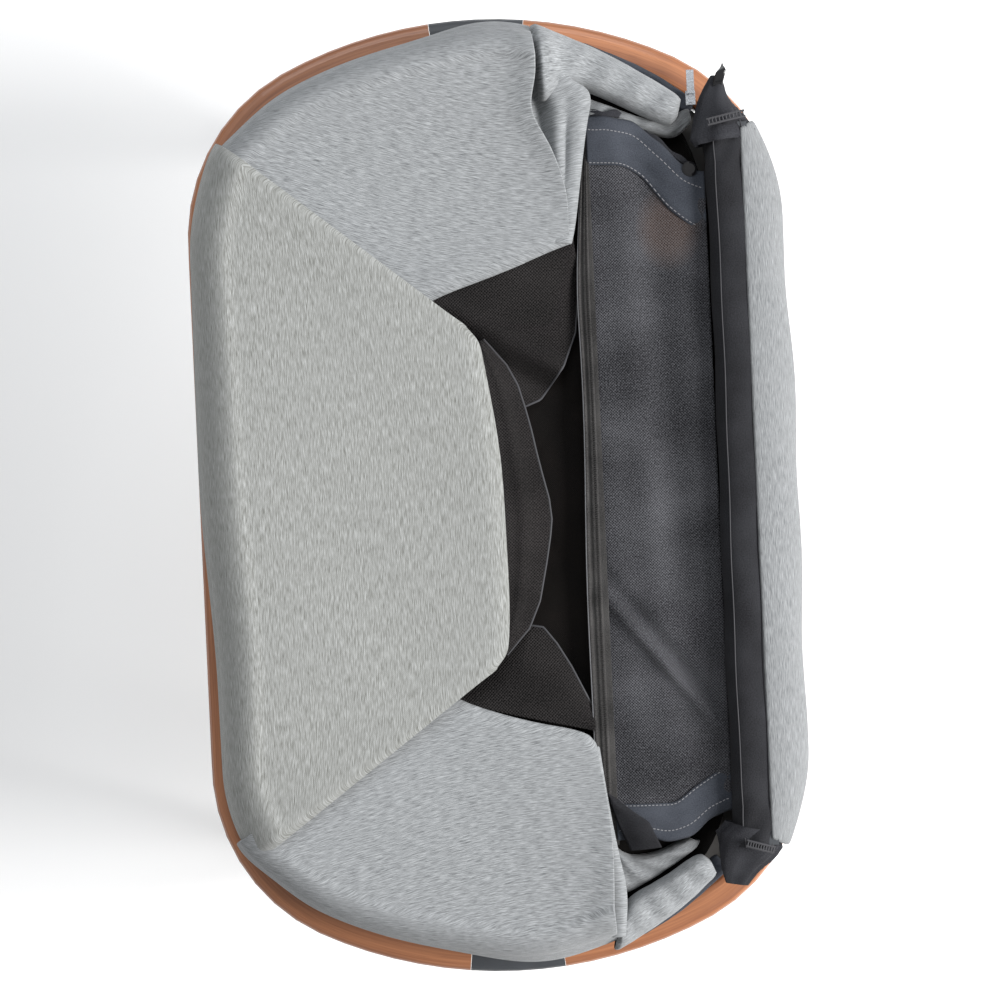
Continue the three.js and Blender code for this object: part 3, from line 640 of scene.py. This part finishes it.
LEFT = FoldingCloth(
    "left_wall_cloth",
    (2.443, 3.557),
    lambda u: (0.019 - 0.006 * ease((u - 0.25) / 0.3), 0.018 - 0.008 * bump(u, 1, 0.06)),
    left_rim,
    left_edge,
    lambda p, s: (p[1], p[0] + p[2]),
    LEFT_Z + 0.0035,
    bulge=lambda u: 0.003 + 0.002 * math.sin(math.pi * u),
    lift=0.0075,
    radius=0.040,
    cloth=HEATHER_LEFT_PAINTED_REFLECTION,
    crown=0.005,
    edge=lambda u: sum(0.002 * bump(u, end, 0.05) - 0.006 * bump(u, end, 0.007) for end in (0, 1)),
)
left = LEFT.build(90, 64)
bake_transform(left)

HEAD_CORNERS = [(-0.235, 0.372), (-0.19, 0.402), (0.06, 0.452), (0.20, 0.488), (0.272, 0.503)]
head_inner = smooth_line([plan(x, y) for x, y in HEAD_CORNERS], 2)


def head_rim(u):
    return 0.030 - 0.012 * bump(u, 0, 0.08), 0.037 - 0.009 * bump(u, 0.9, 0.16) - 0.010 * bump(u, 0, 0.12)


def head_bow(u, t):
    """The free side of the head flap swings in from the crown's middle to the opening's corner."""
    swing = 0.006 * bump(t, 0.72, 0.2) - 0.012 * bump(t, 0.27, 0.16)
    return swing * ease((u - 0.45) / 0.55), 0.0


HEAD = FoldingCloth(
    "head_wall_cloth",
    (-0.485, 0.084),
    lambda u: (
        0.022 - 0.012 * bump(u, 0, 0.1),
        0.022 - 0.010 * bump(u, 0.9, 0.15) - 0.012 * bump(u, 0, 0.12),
    ),
    head_rim,
    head_inner,
    lambda p, s: (p[0] - 0.14 * p[1], p[1] + 0.14 * p[0] - p[2]),
    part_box("flap_head")[0][2] - 0.001,
    bow=head_bow,
    bulge=lambda u: 0.002 + 0.004 * bump(u, 0.9, 0.2),
    lift=-0.001,
    crown=0.006,
    seed=2.3,
    edge=lambda u: 0.006 * bump(u, 1.0, 0.06),
)
head = HEAD.build(76, 56)
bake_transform(head)

FOOT_CORNERS = [(0.281, -0.512), (0.25, -0.487), (0.06, -0.462), (-0.155, -0.415), (-0.215, -0.375)]
foot_inner = smooth_line([plan(x, y) for x, y in FOOT_CORNERS], 2)
FOOT = FoldingCloth(
    "foot_wall_cloth",
    (1.842, 2.485),
    lambda u: (
        0.024 - 0.012 * bump(u, 1, 0.1),
        0.027 - 0.008 * bump(u, 0.15, 0.15) - 0.012 * bump(u, 1, 0.1),
    ),
    lambda u: (0.030 - 0.010 * bump(u, 1, 0.1), 0.040 - 0.008 * bump(u, 0.2, 0.15) - 0.010 * bump(u, 1, 0.1)),
    foot_inner,
    lambda p, s: (p[0] + 0.09 * p[1], p[1] - 0.09 * p[0] + p[2]),
    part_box("flap_foot")[0][2] - 0.001,
    bow=lambda u, t: (0.006 * ease((0.35 - u) / 0.35) * math.sin(math.pi * t), 0.0),
    bulge=lambda u: 0.003 + 0.004 * bump(u, 0.15, 0.2),
    lift=-0.001,
    crown=0.006,
    seed=4.1,
    edge=lambda u: 0.005 * bump(u, 0.0, 0.06),
)
foot = FOOT.build(76, 56)
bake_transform(foot)

for obj, *nodes in (
    (left, "wall_left", "flap_left"),
    (head, "wall_head", "flap_head"),
    (foot, "wall_foot", "flap_foot"),
):
    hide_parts(*nodes)


# ---- Open side: skirt and rail sleeve ----
rail_low, rail_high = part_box("rail_sleeve")
RAIL_X = (rail_low[0] + rail_high[0]) / 2
RAIL_Z = (rail_low[2] + rail_high[2]) / 2
RAIL_R = (rail_high[0] - rail_low[0]) / 2
skirt_low, skirt_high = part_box("skirt_open_side")
SKIRT_RING = Outline(0.0028)


def skirt_point(u, v):
    x, y = SKIRT_RING.at(mix(0.462, 1.538, u))
    a = v * math.pi / 2
    s = math.sin(a)
    yy = y * mix(0.965, 1.0, s)
    puff = 0.0012 * math.sin(38 * yy + 5 * v) * s + 0.0015 * math.sin(11 * yy + 1.0) * s
    z = RING_TOP + 0.003 + (skirt_high[2] - RING_TOP) * max(0.0, math.cos(a)) ** 0.8
    tuck = 0.0025 * ease((yy - 0.10) / 0.14) * s
    return mix(skirt_low[0] - 0.004, x - tuck, s) + puff, yy, z


skirt = grid("open_side_skirt", skirt_point, 100, 20, HEATHER_PAINTED_SHADE, lambda u, v, p: (p[1], v * 0.085))
cloth_solid(skirt, CLOTH)
finish_piece(skirt, "basket", "heather_cloth", "skirt_open_side")


def sleeve_point(u, v):
    y = mix(rail_low[1] - 0.016, rail_high[1] + 0.016, u)
    a = v * math.tau
    end = ease((abs(y) - 0.27) / 0.07)
    pucker = 0.0006 * math.sin(55 * y + 2 * math.cos(a)) + end * 0.0022 * math.sin(150 * y + 5 * a)
    r = RAIL_R + 0.0012 + pucker
    sway = 0.0012 * math.sin(9 * y)
    tall = 1.0 - 0.1 * max(0.0, math.sin(a)) ** 2
    return RAIL_X + sway + (r + 0.001) * math.cos(a), y, RAIL_Z + r * tall * math.sin(a)


sleeve = grid("rail_sleeve_cloth", sleeve_point, 150, 36, SLEEVE, lambda u, v, p: (p[1], v * 0.11))
finish_piece(sleeve, "basket", "charcoal_cloth", "rail_sleeve")


def rail_line(angle, out, lift=0.0, count=70):
    points = []
    for i in range(count + 1):
        p = sleeve_point(i / count, angle / math.tau)
        points.append((p[0] + out * math.cos(angle), p[1], p[2] + out * math.sin(angle) + lift))
    return points


seams = [tube("seam", rail_line(angle, 0.0006), 0.0006, THREAD_DARK, 8) for angle in (0.75, 2.2)]
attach(joined("rail_sleeve_seams", seams), "basket")

# ---- Mattress: quilted cover with a piped edge ----
low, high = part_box("mattress")


def mattress_point(u, v):
    a = u * math.tau
    c, s = math.cos(a), math.sin(a)
    cx, cy = (low[0] + high[0]) / 2, (low[1] + high[1]) / 2
    n = 0.42
    ex = math.copysign(abs(c) ** n, c) * (high[0] - low[0]) / 2
    ey = math.copysign(abs(s) ** n, s) * (high[1] - low[1]) / 2
    if v < 0.4:
        t = v / 0.4
        z = mix(low[2] + 0.001, high[2] - 0.005, t)
        k = 1.0 - 0.010 * (2 * t - 1) ** 4
    else:
        t = (v - 0.4) / 0.6
        k = 1 - t
        x, y = ex * k, ey * k
        quilt = abs(math.sin(24 * (x + y)) * math.sin(24 * (x - y))) ** 0.35
        z = high[2] - 0.005 + (0.001 + 0.0035 * quilt) * ease(5 * t)
    return cx + ex * k, cy + ey * k, z


mattress = grid("mattress_cover", mattress_point, 96, 60, COVER_PAINTED_SHADE, lambda u, v, p: (p[0], p[1]))
finish_piece(mattress, "basket", "charcoal_cloth", "mattress")

# ---- Mesh side laid inwards, with its trims and zip tape ----
panel_low, panel_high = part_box("mesh_panel")
tape_low, tape_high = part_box("zip_tape")
HINGE_X = panel_high[0]


def panel_edge(x, toward):
    """The panel's head or foot end at x: straight, then cut back towards the rail."""
    t = clamp((x - panel_low[0]) / (HINGE_X - panel_low[0]))
    if toward > 0:
        return panel_high[1] - 0.050 * ease((t - 0.25) / 0.8) - 0.007 * t
    return panel_low[1] + 0.026 * ease((t - 0.5) / 0.6)


def panel_height(x, y):
    t = clamp((HINGE_X - x) / (HINGE_X - tape_low[0]))
    base = mix(panel_high[2] - 0.001, tape_low[2] + 0.004, t)
    side = math.sin(math.pi * clamp(t * 0.9 + 0.05)) ** 0.7
    drape = 0.0024 * math.sin(62 * x + 1.4 * math.sin(6 * y)) + 0.0011 * math.sin(140 * x + 9 * y)
    across = (y + 0.165) + 1.25 * (x - 0.15)
    run = ease((0.02 - y) / 0.1) * ease((y + 0.30) / 0.06)
    fold = run * (0.0065 * bump(across, 0.0, 0.010) - 0.004 * bump(across, 0.019, 0.012))
    slack = -0.0035 * bump(x, 0.165, 0.022) * (0.6 + 0.4 * math.cos(5.5 * y))
    knock = 0.002 * bump(math.hypot(x - 0.165, y - 0.24), 0.0, 0.03)
    return base + (drape + fold + slack + knock) * side


def panel_point(u, v):
    x = mix(panel_low[0] - 0.001, HINGE_X + 0.0045, v)
    y = mix(panel_edge(x, -1) + 0.014, panel_edge(x, 1) - 0.028, u)
    return x, y, panel_height(x, y)


panel = grid("mesh_side_net", panel_point, 190, 56, NET, lambda u, v, p: (p[0], p[1]))
cloth_solid(panel, 0.0012, 0)


def trim_point(toward, depth):
    def fn(u, v):
        x = mix(panel_low[0] - 0.001, HINGE_X + 0.0045, u)
        edge = panel_edge(x, toward) - toward * 0.002
        wave = 0.0016 * math.sin(90 * x) + 0.0009 * math.sin(230 * x)
        dip = depth * (1 + 0.20 * ease((u - 0.45) / 0.25))
        y = mix(edge + toward * wave, edge - toward * dip, v)
        puff = 0.0026 * max(0.0, math.sin(math.pi * v)) ** 0.5
        puff += 0.0009 * math.sin(60 * x + 9 * v) * math.sin(math.pi * v)
        sink = 0.004 * bump(u, 0.97, 0.10) + 0.0008 * bump(v, 0.28, 0.03) + 0.0008 * bump(v, 0.95, 0.03)
        return x, y, panel_height(x, y) + 0.0016 + puff - sink

    return fn


def stitches(fn, share, count, thread, radius=0.00045):
    """Run of short threads across the surface fn, at the given share of its depth."""
    made = []
    for k in range(count):
        ends = [fn(0.02 + 0.96 * (k + s) / count, share) for s in (0.0, 0.6)]
        made.append(tube("stitch", [(p[0], p[1], p[2] + 0.0011) for p in ends], radius, thread, 4))
    return made


trims = []
for name, toward, depth in (("head_trim", 1, 0.046), ("foot_trim", -1, 0.034)):
    fn = trim_point(toward, depth)
    trim = grid(name, fn, 64, 20, TRIM, lambda u, v, p: (p[0], p[1]))
    trims.append(cloth_solid(trim, 0.0014, 0))
    sewn = stitches(fn, 0.28, 30, THREAD) + stitches(fn, 0.955, 30, THREAD)
    trims.append(joined(name + "_stitching", sewn))


def ragged_point(u, v):
    """Raw double edge of the head trim's turning, just beyond the trim."""
    x = mix(panel_low[0] + 0.004, HINGE_X - 0.004, u)
    y = panel_edge(x, 1) + 0.0035 - 0.006 * v + 0.0014 * math.sin(310 * x) * (1 - v)
    return x, y, panel_height(x, y) - 0.001 + 0.0015 * math.sin(120 * x)


ragged = grid("head_trim_turning", ragged_point, 70, 4, CUFF, lambda u, v, p: (p[0], p[1]))
trims.append(cloth_solid(ragged, 0.0012, 0))

strap_outline = [(0.0909, -0.2837), (0.128, -0.3116), (0.139, -0.3355), (0.110, -0.3379), (0.0998, -0.3141)]


def strap_point(u, v):
    """Loose strap end folded across the panel's foot corner."""
    upper = polyline([strap_outline[0], strap_outline[1], strap_outline[2]])(u)
    lower = polyline([strap_outline[0], strap_outline[4], strap_outline[3]])(u)
    x, y = mix(upper[0], lower[0], v), mix(upper[1], lower[1], v)
    lift = 0.0065 + 0.002 * math.sin(math.pi * v) - 0.0012 * math.sin(14 * u + 2 * v)
    return x, y, panel_height(x, max(y, panel_low[1])) + lift


strap = grid("loose_strap_end", strap_point, 26, 12, SLEEVE, lambda u, v, p: (p[0], p[1]))
trims.append(cloth_solid(strap, 0.0016, 0))


def tape_point(u, v):
    """Zip tape seen from above: a turned edge, the coil's two ridges and a flat band."""
    y = mix(tape_low[1] - 0.002, tape_high[1] + 0.002, u)
    sway = 0.0022 * math.sin(7.5 * y + 0.6) + 0.0010 * math.sin(19 * y)
    taper = 0.012 * ease((y - 0.16) / 0.18)
    x = mix(tape_low[0], tape_high[0] + 0.001, v) + (sway + taper) * (1 - v)
    ridge = 0.0022 * bump(v, 0.1, 0.07) + 0.0014 * bump(v, 0.42, 0.06) + 0.0012 * bump(v, 0.64, 0.05)
    z = mix(tape_low[2] + 0.003, panel_height(tape_high[0], y), ease(v)) + 0.0022 + ridge
    return x, y, z


tape = grid("zip_tape_cloth", tape_point, 170, 34, TAPE, lambda u, v, p: (p[0], p[1]))
cloth_solid(tape, 0.0014, 0)
coil = []
for k in range(330):
    u = (k + 0.5) / 330
    a, b = tape_point(u, 0.42), tape_point(u, 0.62)
    ends = [(a[0], a[1], a[2] + 0.0006), (b[0], b[1] + 0.0006, b[2] + 0.0006)]
    coil.append(tube("tooth", ends, 0.0005, TAPE, 4))
teeth = joined("zip_coil", coil)


def tape_line(share, lift, count=130):
    return [tuple(Vector(tape_point(i / count, share)) + Vector((0, 0, lift))) for i in range(count + 1)]


edge_cord = tube("zip_tape_edge", tape_line(0.03, 0.0006), 0.0008, THREAD, 8)
for obj in (panel, *trims, tape, teeth, edge_cord):
    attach(obj, "mesh_side")
for obj, node, slot in ((panel, "mesh_panel", "mesh"), (tape, "zip_tape", "charcoal_cloth")):
    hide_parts(node)


# ---- Mesh linings under the flaps ----
def lining(name, node, body, seam, deep, folds, rise=0.0):
    """Net that hangs from a seam line: seam(u) and deep(u) are its upper and lower edges in plan."""
    low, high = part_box(node)

    def fn(u, v):
        (ax, ay), (bx, by) = seam(u), deep(u)
        x, y = mix(ax, bx, v), mix(ay, by, v)
        z = mix(high[2] + rise, low[2] + 0.001, v) + folds(u, v, x, y)
        return x, y, z

    made = grid(name, fn, 90, 36, NET_PAINTED_SHADE, lambda u, v, p: (p[0], p[1]))
    cloth_solid(made, 0.001, 0)
    finish_piece(made, body, "mesh", node)
    hem = tube(name + "_hem", [fn(i / 70, 1.0) for i in range(71)], 0.0011, THREAD_DARK, 8)
    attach(hem, body)
    return made, hem


band_seam = smooth_line(
    [(-0.004, -0.1495), (0.004, -0.10), (0.007, -0.02), (0.001, 0.07), (-0.012, 0.142)], 2
)
band_deep = smooth_line(
    [
        (0.003, -0.150), (0.032, -0.118), (0.0472, -0.0488), (0.0512, -0.0169),
        (0.0405, 0.029), (0.033, 0.069), (0.021, 0.113), (-0.006, 0.146),
    ],
    1,
)
band_net, band_hem = lining(
    "left_lining_net",
    "mesh_band_left",
    "left_lining",
    band_seam,
    band_deep,
    lambda u, v, x, y: 0.0035 * bump(v, 0.42, 0.16) + 0.0012 * math.sin(26 * y + 5 * v) * v,
)
head_net, head_hem = lining(
    "head_lining_net",
    "mesh_gusset_head",
    "head_lining",
    polyline([(-0.062, 0.176), (-0.045, 0.20), (0.082, 0.236)]),
    smooth_line([(-0.05, 0.165), (0.010, 0.105), (0.0342, 0.0733), (0.0789, 0.132), (0.086, 0.20)], 1),
    lambda u, v, x, y: 0.010 * bump(y + 0.62 * x, 0.155, 0.012) * v
    - 0.006 * bump(y + 0.62 * x, 0.128, 0.012)
    + 0.002 * math.sin(60 * x + 25 * y) * v,
)
foot_net, foot_hem = lining(
    "foot_lining_net",
    "mesh_gusset_foot",
    "foot_lining",
    polyline([(0.082, -0.224), (0.01, -0.207), (-0.06, -0.188)]),
    smooth_line([(0.082, -0.205), (0.056, -0.150), (0.032, -0.1183), (0.006, -0.140), (-0.05, -0.182)], 1),
    lambda u, v, x, y: 0.004 * math.sin(42 * x - 30 * y) * v + 0.002 * math.sin(90 * y) * v,
)


# ---- Folded strips of cloth at the open side's corners ----
def folded_strip(name, upper, lower, level, material, node=None, seed=0.0, nu=60):
    """A flattened fold of cloth between two plan lines.

    level(u) gives its middle height and half thickness."""

    def fn(u, v):
        a = v * math.tau
        c, s = math.cos(a), math.sin(a)
        (ax, ay), (bx, by) = upper(u), lower(u)
        end = clamp(min(u, 1 - u) / 0.05) ** 0.5
        share = 0.5 - 0.5 * math.copysign(abs(c) ** 0.75, c) * mix(0.82, 1.0, end)
        z, h = level(u)
        h *= 0.5 + 0.5 * end
        crease = 0.0012 * math.sin(30 * u + 3 * a + seed) + 0.0012 * ripple(ax * 3, ay * 3 + share, seed)
        return mix(ax, bx, share), mix(ay, by, share), z + (h + crease) * math.copysign(abs(s) ** 0.8, s)

    made = grid(name, fn, nu, 40, material, lambda u, v, p: (u * 0.19, v * 0.12))
    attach(made, "basket")
    if node:
        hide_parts(node)
    return made


folded_strip(
    "head_corner_fold",
    smooth_line([(0.048, 0.4385), (0.104, 0.4180), (0.160, 0.3840), (0.189, 0.3640)], 2),
    smooth_line(
        [(0.056, 0.360), (0.086, 0.3775), (0.1064, 0.3720), (0.142, 0.3536), (0.176, 0.3365), (0.184, 0.343)], 2
    ),
    lambda u: (0.484 + 0.012 * bump(u, 0.05, 0.12), 0.017 + 0.006 * bump(u, 0.1, 0.2)),
    HEATHER,
    node="roll_head",
    seed=1.0,
)
folded_strip(
    "head_corner_inner_fold",
    smooth_line([(0.085, 0.375), (0.115, 0.3640), (0.165, 0.3420), (0.196, 0.3560)], 2),
    smooth_line([(0.094, 0.345), (0.1126, 0.3500), (0.1652, 0.3310), (0.1828, 0.3270), (0.1990, 0.3420)], 2),
    lambda u: (0.474, 0.010),
    HEATHER_PAINTED_SHADE,
    seed=3.0,
)
folded_strip(
    "head_corner_band",
    smooth_line([(0.098, 0.4270), (0.160, 0.3990), (0.205, 0.3660)], 2),
    smooth_line([(0.100, 0.4050), (0.155, 0.3760), (0.196, 0.3480)], 2),
    lambda u: (RING_TOP + 0.013, 0.011),
    TRIM,
    seed=5.0,
)
folded_strip(
    "foot_corner_fold",
    smooth_line([(0.090, -0.4330), (0.1234, -0.4150), (0.158, -0.3930), (0.190, -0.3640)], 2),
    smooth_line(
        [(0.098, -0.3990), (0.105, -0.3826), (0.1424, -0.3646), (0.1733, -0.3436), (0.184, -0.350)], 2
    ),
    lambda u: (0.482, 0.016 + 0.004 * bump(u, 0.1, 0.2)),
    HEATHER,
    node="roll_foot",
    seed=2.0,
)
folded_strip(
    "foot_corner_inner_fold",
    smooth_line([(0.078, -0.3900), (0.118, -0.3760), (0.170, -0.3440), (0.178, -0.335)], 2),
    smooth_line([(0.080, -0.3000), (0.098, -0.3440), (0.130, -0.3460), (0.165, -0.330)], 2),
    lambda u: (0.472 - 0.004 * u, 0.012),
    HEATHER_PAINTED_SHADE,
    seed=4.0,
)
folded_strip(
    "foot_corner_band",
    smooth_line([(0.118, -0.4250), (0.160, -0.4020), (0.205, -0.3640)], 2),
    smooth_line([(0.120, -0.4050), (0.155, -0.3840), (0.192, -0.3500)], 2),
    lambda u: (RING_TOP + 0.013, 0.011),
    TRIM,
    seed=6.0,
)


# Layer of the head flap that falls back from its ridge, down to the opening's corner.
HEAD_RIDGE = smooth_line(
    [(0.0492, 0.425), (0.0440, 0.3883), (0.0500, 0.365), (0.0560, 0.3417), (0.064, 0.300), (0.064, 0.232)], 2
)
HEAD_FREE = smooth_line(
    [
        (0.056, 0.425), (0.085, 0.3800), (0.1062, 0.3710), (0.0985, 0.3398),
        (0.0915, 0.2983), (0.084, 0.2500), (0.079, 0.2300),
    ],
    2,
)


def head_fall(u, v):
    ridge = HEAD_RIDGE(u)
    free = HEAD_FREE(u)
    x, y = mix(ridge[0] - 0.01, free[0], v), mix(ridge[1], free[1], v)
    valley = 0.024 * bump(v, 0.20, 0.17) * (1 - 0.8 * ease(u))
    crease = 0.004 * bump(v, 0.62, 0.10) * bump(u, 0.55, 0.18)
    return x, y, 0.5085 - 0.012 * u - valley - crease - 0.004 * bump(v, 1.0, 0.07)


fall = grid(
    "head_flap_return", head_fall, 60, 30, HEATHER, lambda u, v, p: (p[0] + 0.3 * p[1], p[1] - 0.3 * p[0])
)
cloth_solid(fall, CLOTH)
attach(fall, "head_wall_flap")


def foot_fall(u, v):
    ridge = smooth_line([(0.066, -0.240), (0.070, -0.300), (0.074, -0.360), (0.080, -0.415)], 2)(u)
    edge = [(0.084, -0.238), (0.090, -0.290), (0.098, -0.340), (0.105, -0.375), (0.100, -0.415)]
    free = smooth_line(edge, 2)(u)
    x, y = mix(ridge[0] - 0.008, free[0], v), mix(ridge[1], free[1], v)
    return x, y, 0.496 + 0.010 * u - 0.010 * bump(v, 0.35, 0.2) - 0.003 * bump(v, 1.0, 0.08)


foot_layer = grid("foot_flap_return", foot_fall, 50, 24, HEATHER, lambda u, v, p: (p[0], p[1]))
cloth_solid(foot_layer, CLOTH)
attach(foot_layer, "foot_wall_flap")


# ---- Gathered cuffs at the rail's ends ----
def cuff(name, node, spine, widths, heights, seed):
    """A gathered sleeve end: spine(u) in plan, half width and half height along it."""

    def fn(u, v):
        a = v * math.tau
        (x, y), (x2, y2) = spine(u), spine(min(1.0, u + 0.02))
        (x0, y0) = spine(max(0.0, u - 0.02))
        dx, dy = x2 - x0, y2 - y0
        n = math.hypot(dx, dy)
        gather = 1 + 0.09 * math.sin(5 * a + seed + 4 * u) + 0.05 * math.sin(11 * a + 9 * u)
        w, h = widths(u)[0] * gather, heights(u)[0] * (1 + 0.14 * math.sin(4 * a + 3 * u + seed))
        z = heights(u)[1]
        return x + dy / n * w * math.cos(a), y - dx / n * w * math.cos(a), z + h * math.sin(a)

    made = grid(name, fn, 46, 56, CUFF, lambda u, v, p: (u * 0.07, v * 0.15))
    finish_piece(made, "basket", "charcoal_cloth", node)
    return fn


head_widths = polyline([(0.026,), (0.029,), (0.022,), (0.010,), (0.005,)])
head_heights = polyline([(0.016, 0.500), (0.017, 0.500), (0.014, 0.494), (0.008, 0.488), (0.004, 0.487)])
cuff(
    "head_cuff_cloth",
    "cuff_head",
    smooth_line([(0.224, 0.318), (0.2215, 0.338), (0.219, 0.358), (0.2225, 0.382)], 2),
    head_widths,
    head_heights,
    1.0,
)
foot_widths = polyline([(0.024,), (0.030,), (0.028,), (0.020,), (0.010,)])
foot_heights = polyline([(0.015, 0.500), (0.015, 0.500), (0.012, 0.496), (0.009, 0.489), (0.004, 0.485)])
cuff(
    "foot_cuff_cloth",
    "cuff_foot",
    smooth_line([(0.223, -0.318), (0.219, -0.334), (0.2115, -0.353), (0.208, -0.374)], 2),
    foot_widths,
    foot_heights,
    2.5,
)


def zip_end(name, a, b, z, count=11):
    """Short run of zip: two cords with teeth between them."""
    parts = []
    (ax, ay), (bx, by) = a, b
    n = math.dist(a, b)
    nx, ny = -(by - ay) / n, (bx - ax) / n
    for side in (-0.0026, 0.0026):
        line = []
        for k in range(9):
            t = k / 8
            rise = 0.0012 * math.sin(math.pi * t)
            line.append((mix(ax, bx, t) + nx * side, mix(ay, by, t) + ny * side, z + rise))
        parts.append(tube("cord", line, 0.0011, THREAD_DARK, 8))
    for k in range(count):
        t = (k + 0.5) / count
        x, y = mix(ax, bx, t), mix(ay, by, t)
        h = z + 0.0012 * math.sin(math.pi * t) + 0.0006
        ends = [(x + side * nx * 0.002, y + side * ny * 0.002, h) for side in (-1, 1)]
        parts.append(tube("tooth", ends, 0.0007, THREAD, 4))
    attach(joined(name, parts), "basket")


zip_end("head_cuff_zip", (0.209, 0.334), (0.244, 0.341), 0.5175)
zip_end("foot_cuff_zip", (0.2155, -0.331), (0.241, -0.3385), 0.5165)


def tab_point(u, v):
    """Pointed end of a strap standing out of the head cuff."""
    width = 0.0046 * (1 - ease((u - 0.62) / 0.38)) + 0.0002
    x = mix(0.2225, 0.2275, u) + width * (v - 0.5) * 2
    return x, mix(0.372, 0.3905, u) + 0.0022 * (v - 0.5), 0.493 + 0.006 * math.sin(2.2 * u)


tab = grid("head_strap_tip", tab_point, 20, 6, GLOSS, lambda u, v, p: (p[0], p[1]))
cloth_solid(tab, 0.0018, 0)
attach(tab, "basket")

bpy.context.scene.view_settings.view_transform = "Standard"

# ---- Floor and light ----
floor_mesh = bpy.data.meshes.new("floor")
floor_mesh.from_pydata([(-6, -6, 0), (6, -6, 0), (6, 6, 0), (-6, 6, 0)], [], [(0, 1, 2, 3)])
floor = link(bpy.data.objects.new("floor", floor_mesh))
pale = Tree("pale floor")
patch = pale.noise(pale.coords("Object"), 3.0, 2.0)
pale.set(base_color=pale.blend(patch, (0.97, 0.97, 0.97), (0.985, 0.985, 0.985)), roughness=0.9)
floor_mesh.materials.append(pale.material)
floor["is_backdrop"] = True

world = bpy.data.worlds.new("studio")
bpy.context.scene.world = world
world.use_nodes = True
world.node_tree.nodes["Background"].inputs[0].default_value = (1, 1, 1, 1)
world.node_tree.nodes["Background"].inputs[1].default_value = 0.50


def lamp(name, at, size, power, colour=(1, 1, 1)):
    data = bpy.data.lights.new(name, "AREA")
    data.size = size
    data.energy = power
    data.color = colour
    obj = link(bpy.data.objects.new(name, data))
    obj.location = at
    obj.rotation_euler = (Vector((0, 0, 0.4)) - Vector(at)).to_track_quat("-Z", "Y").to_euler()
    obj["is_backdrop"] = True


lamp("key", (2.5, -0.4, 2.2), 1.5, 178, (1.0, 0.99, 0.98))
lamp("fill", (-0.2, 2.2, 2.9), 2.2, 52, (0.92, 0.96, 1.0))

low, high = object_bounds()
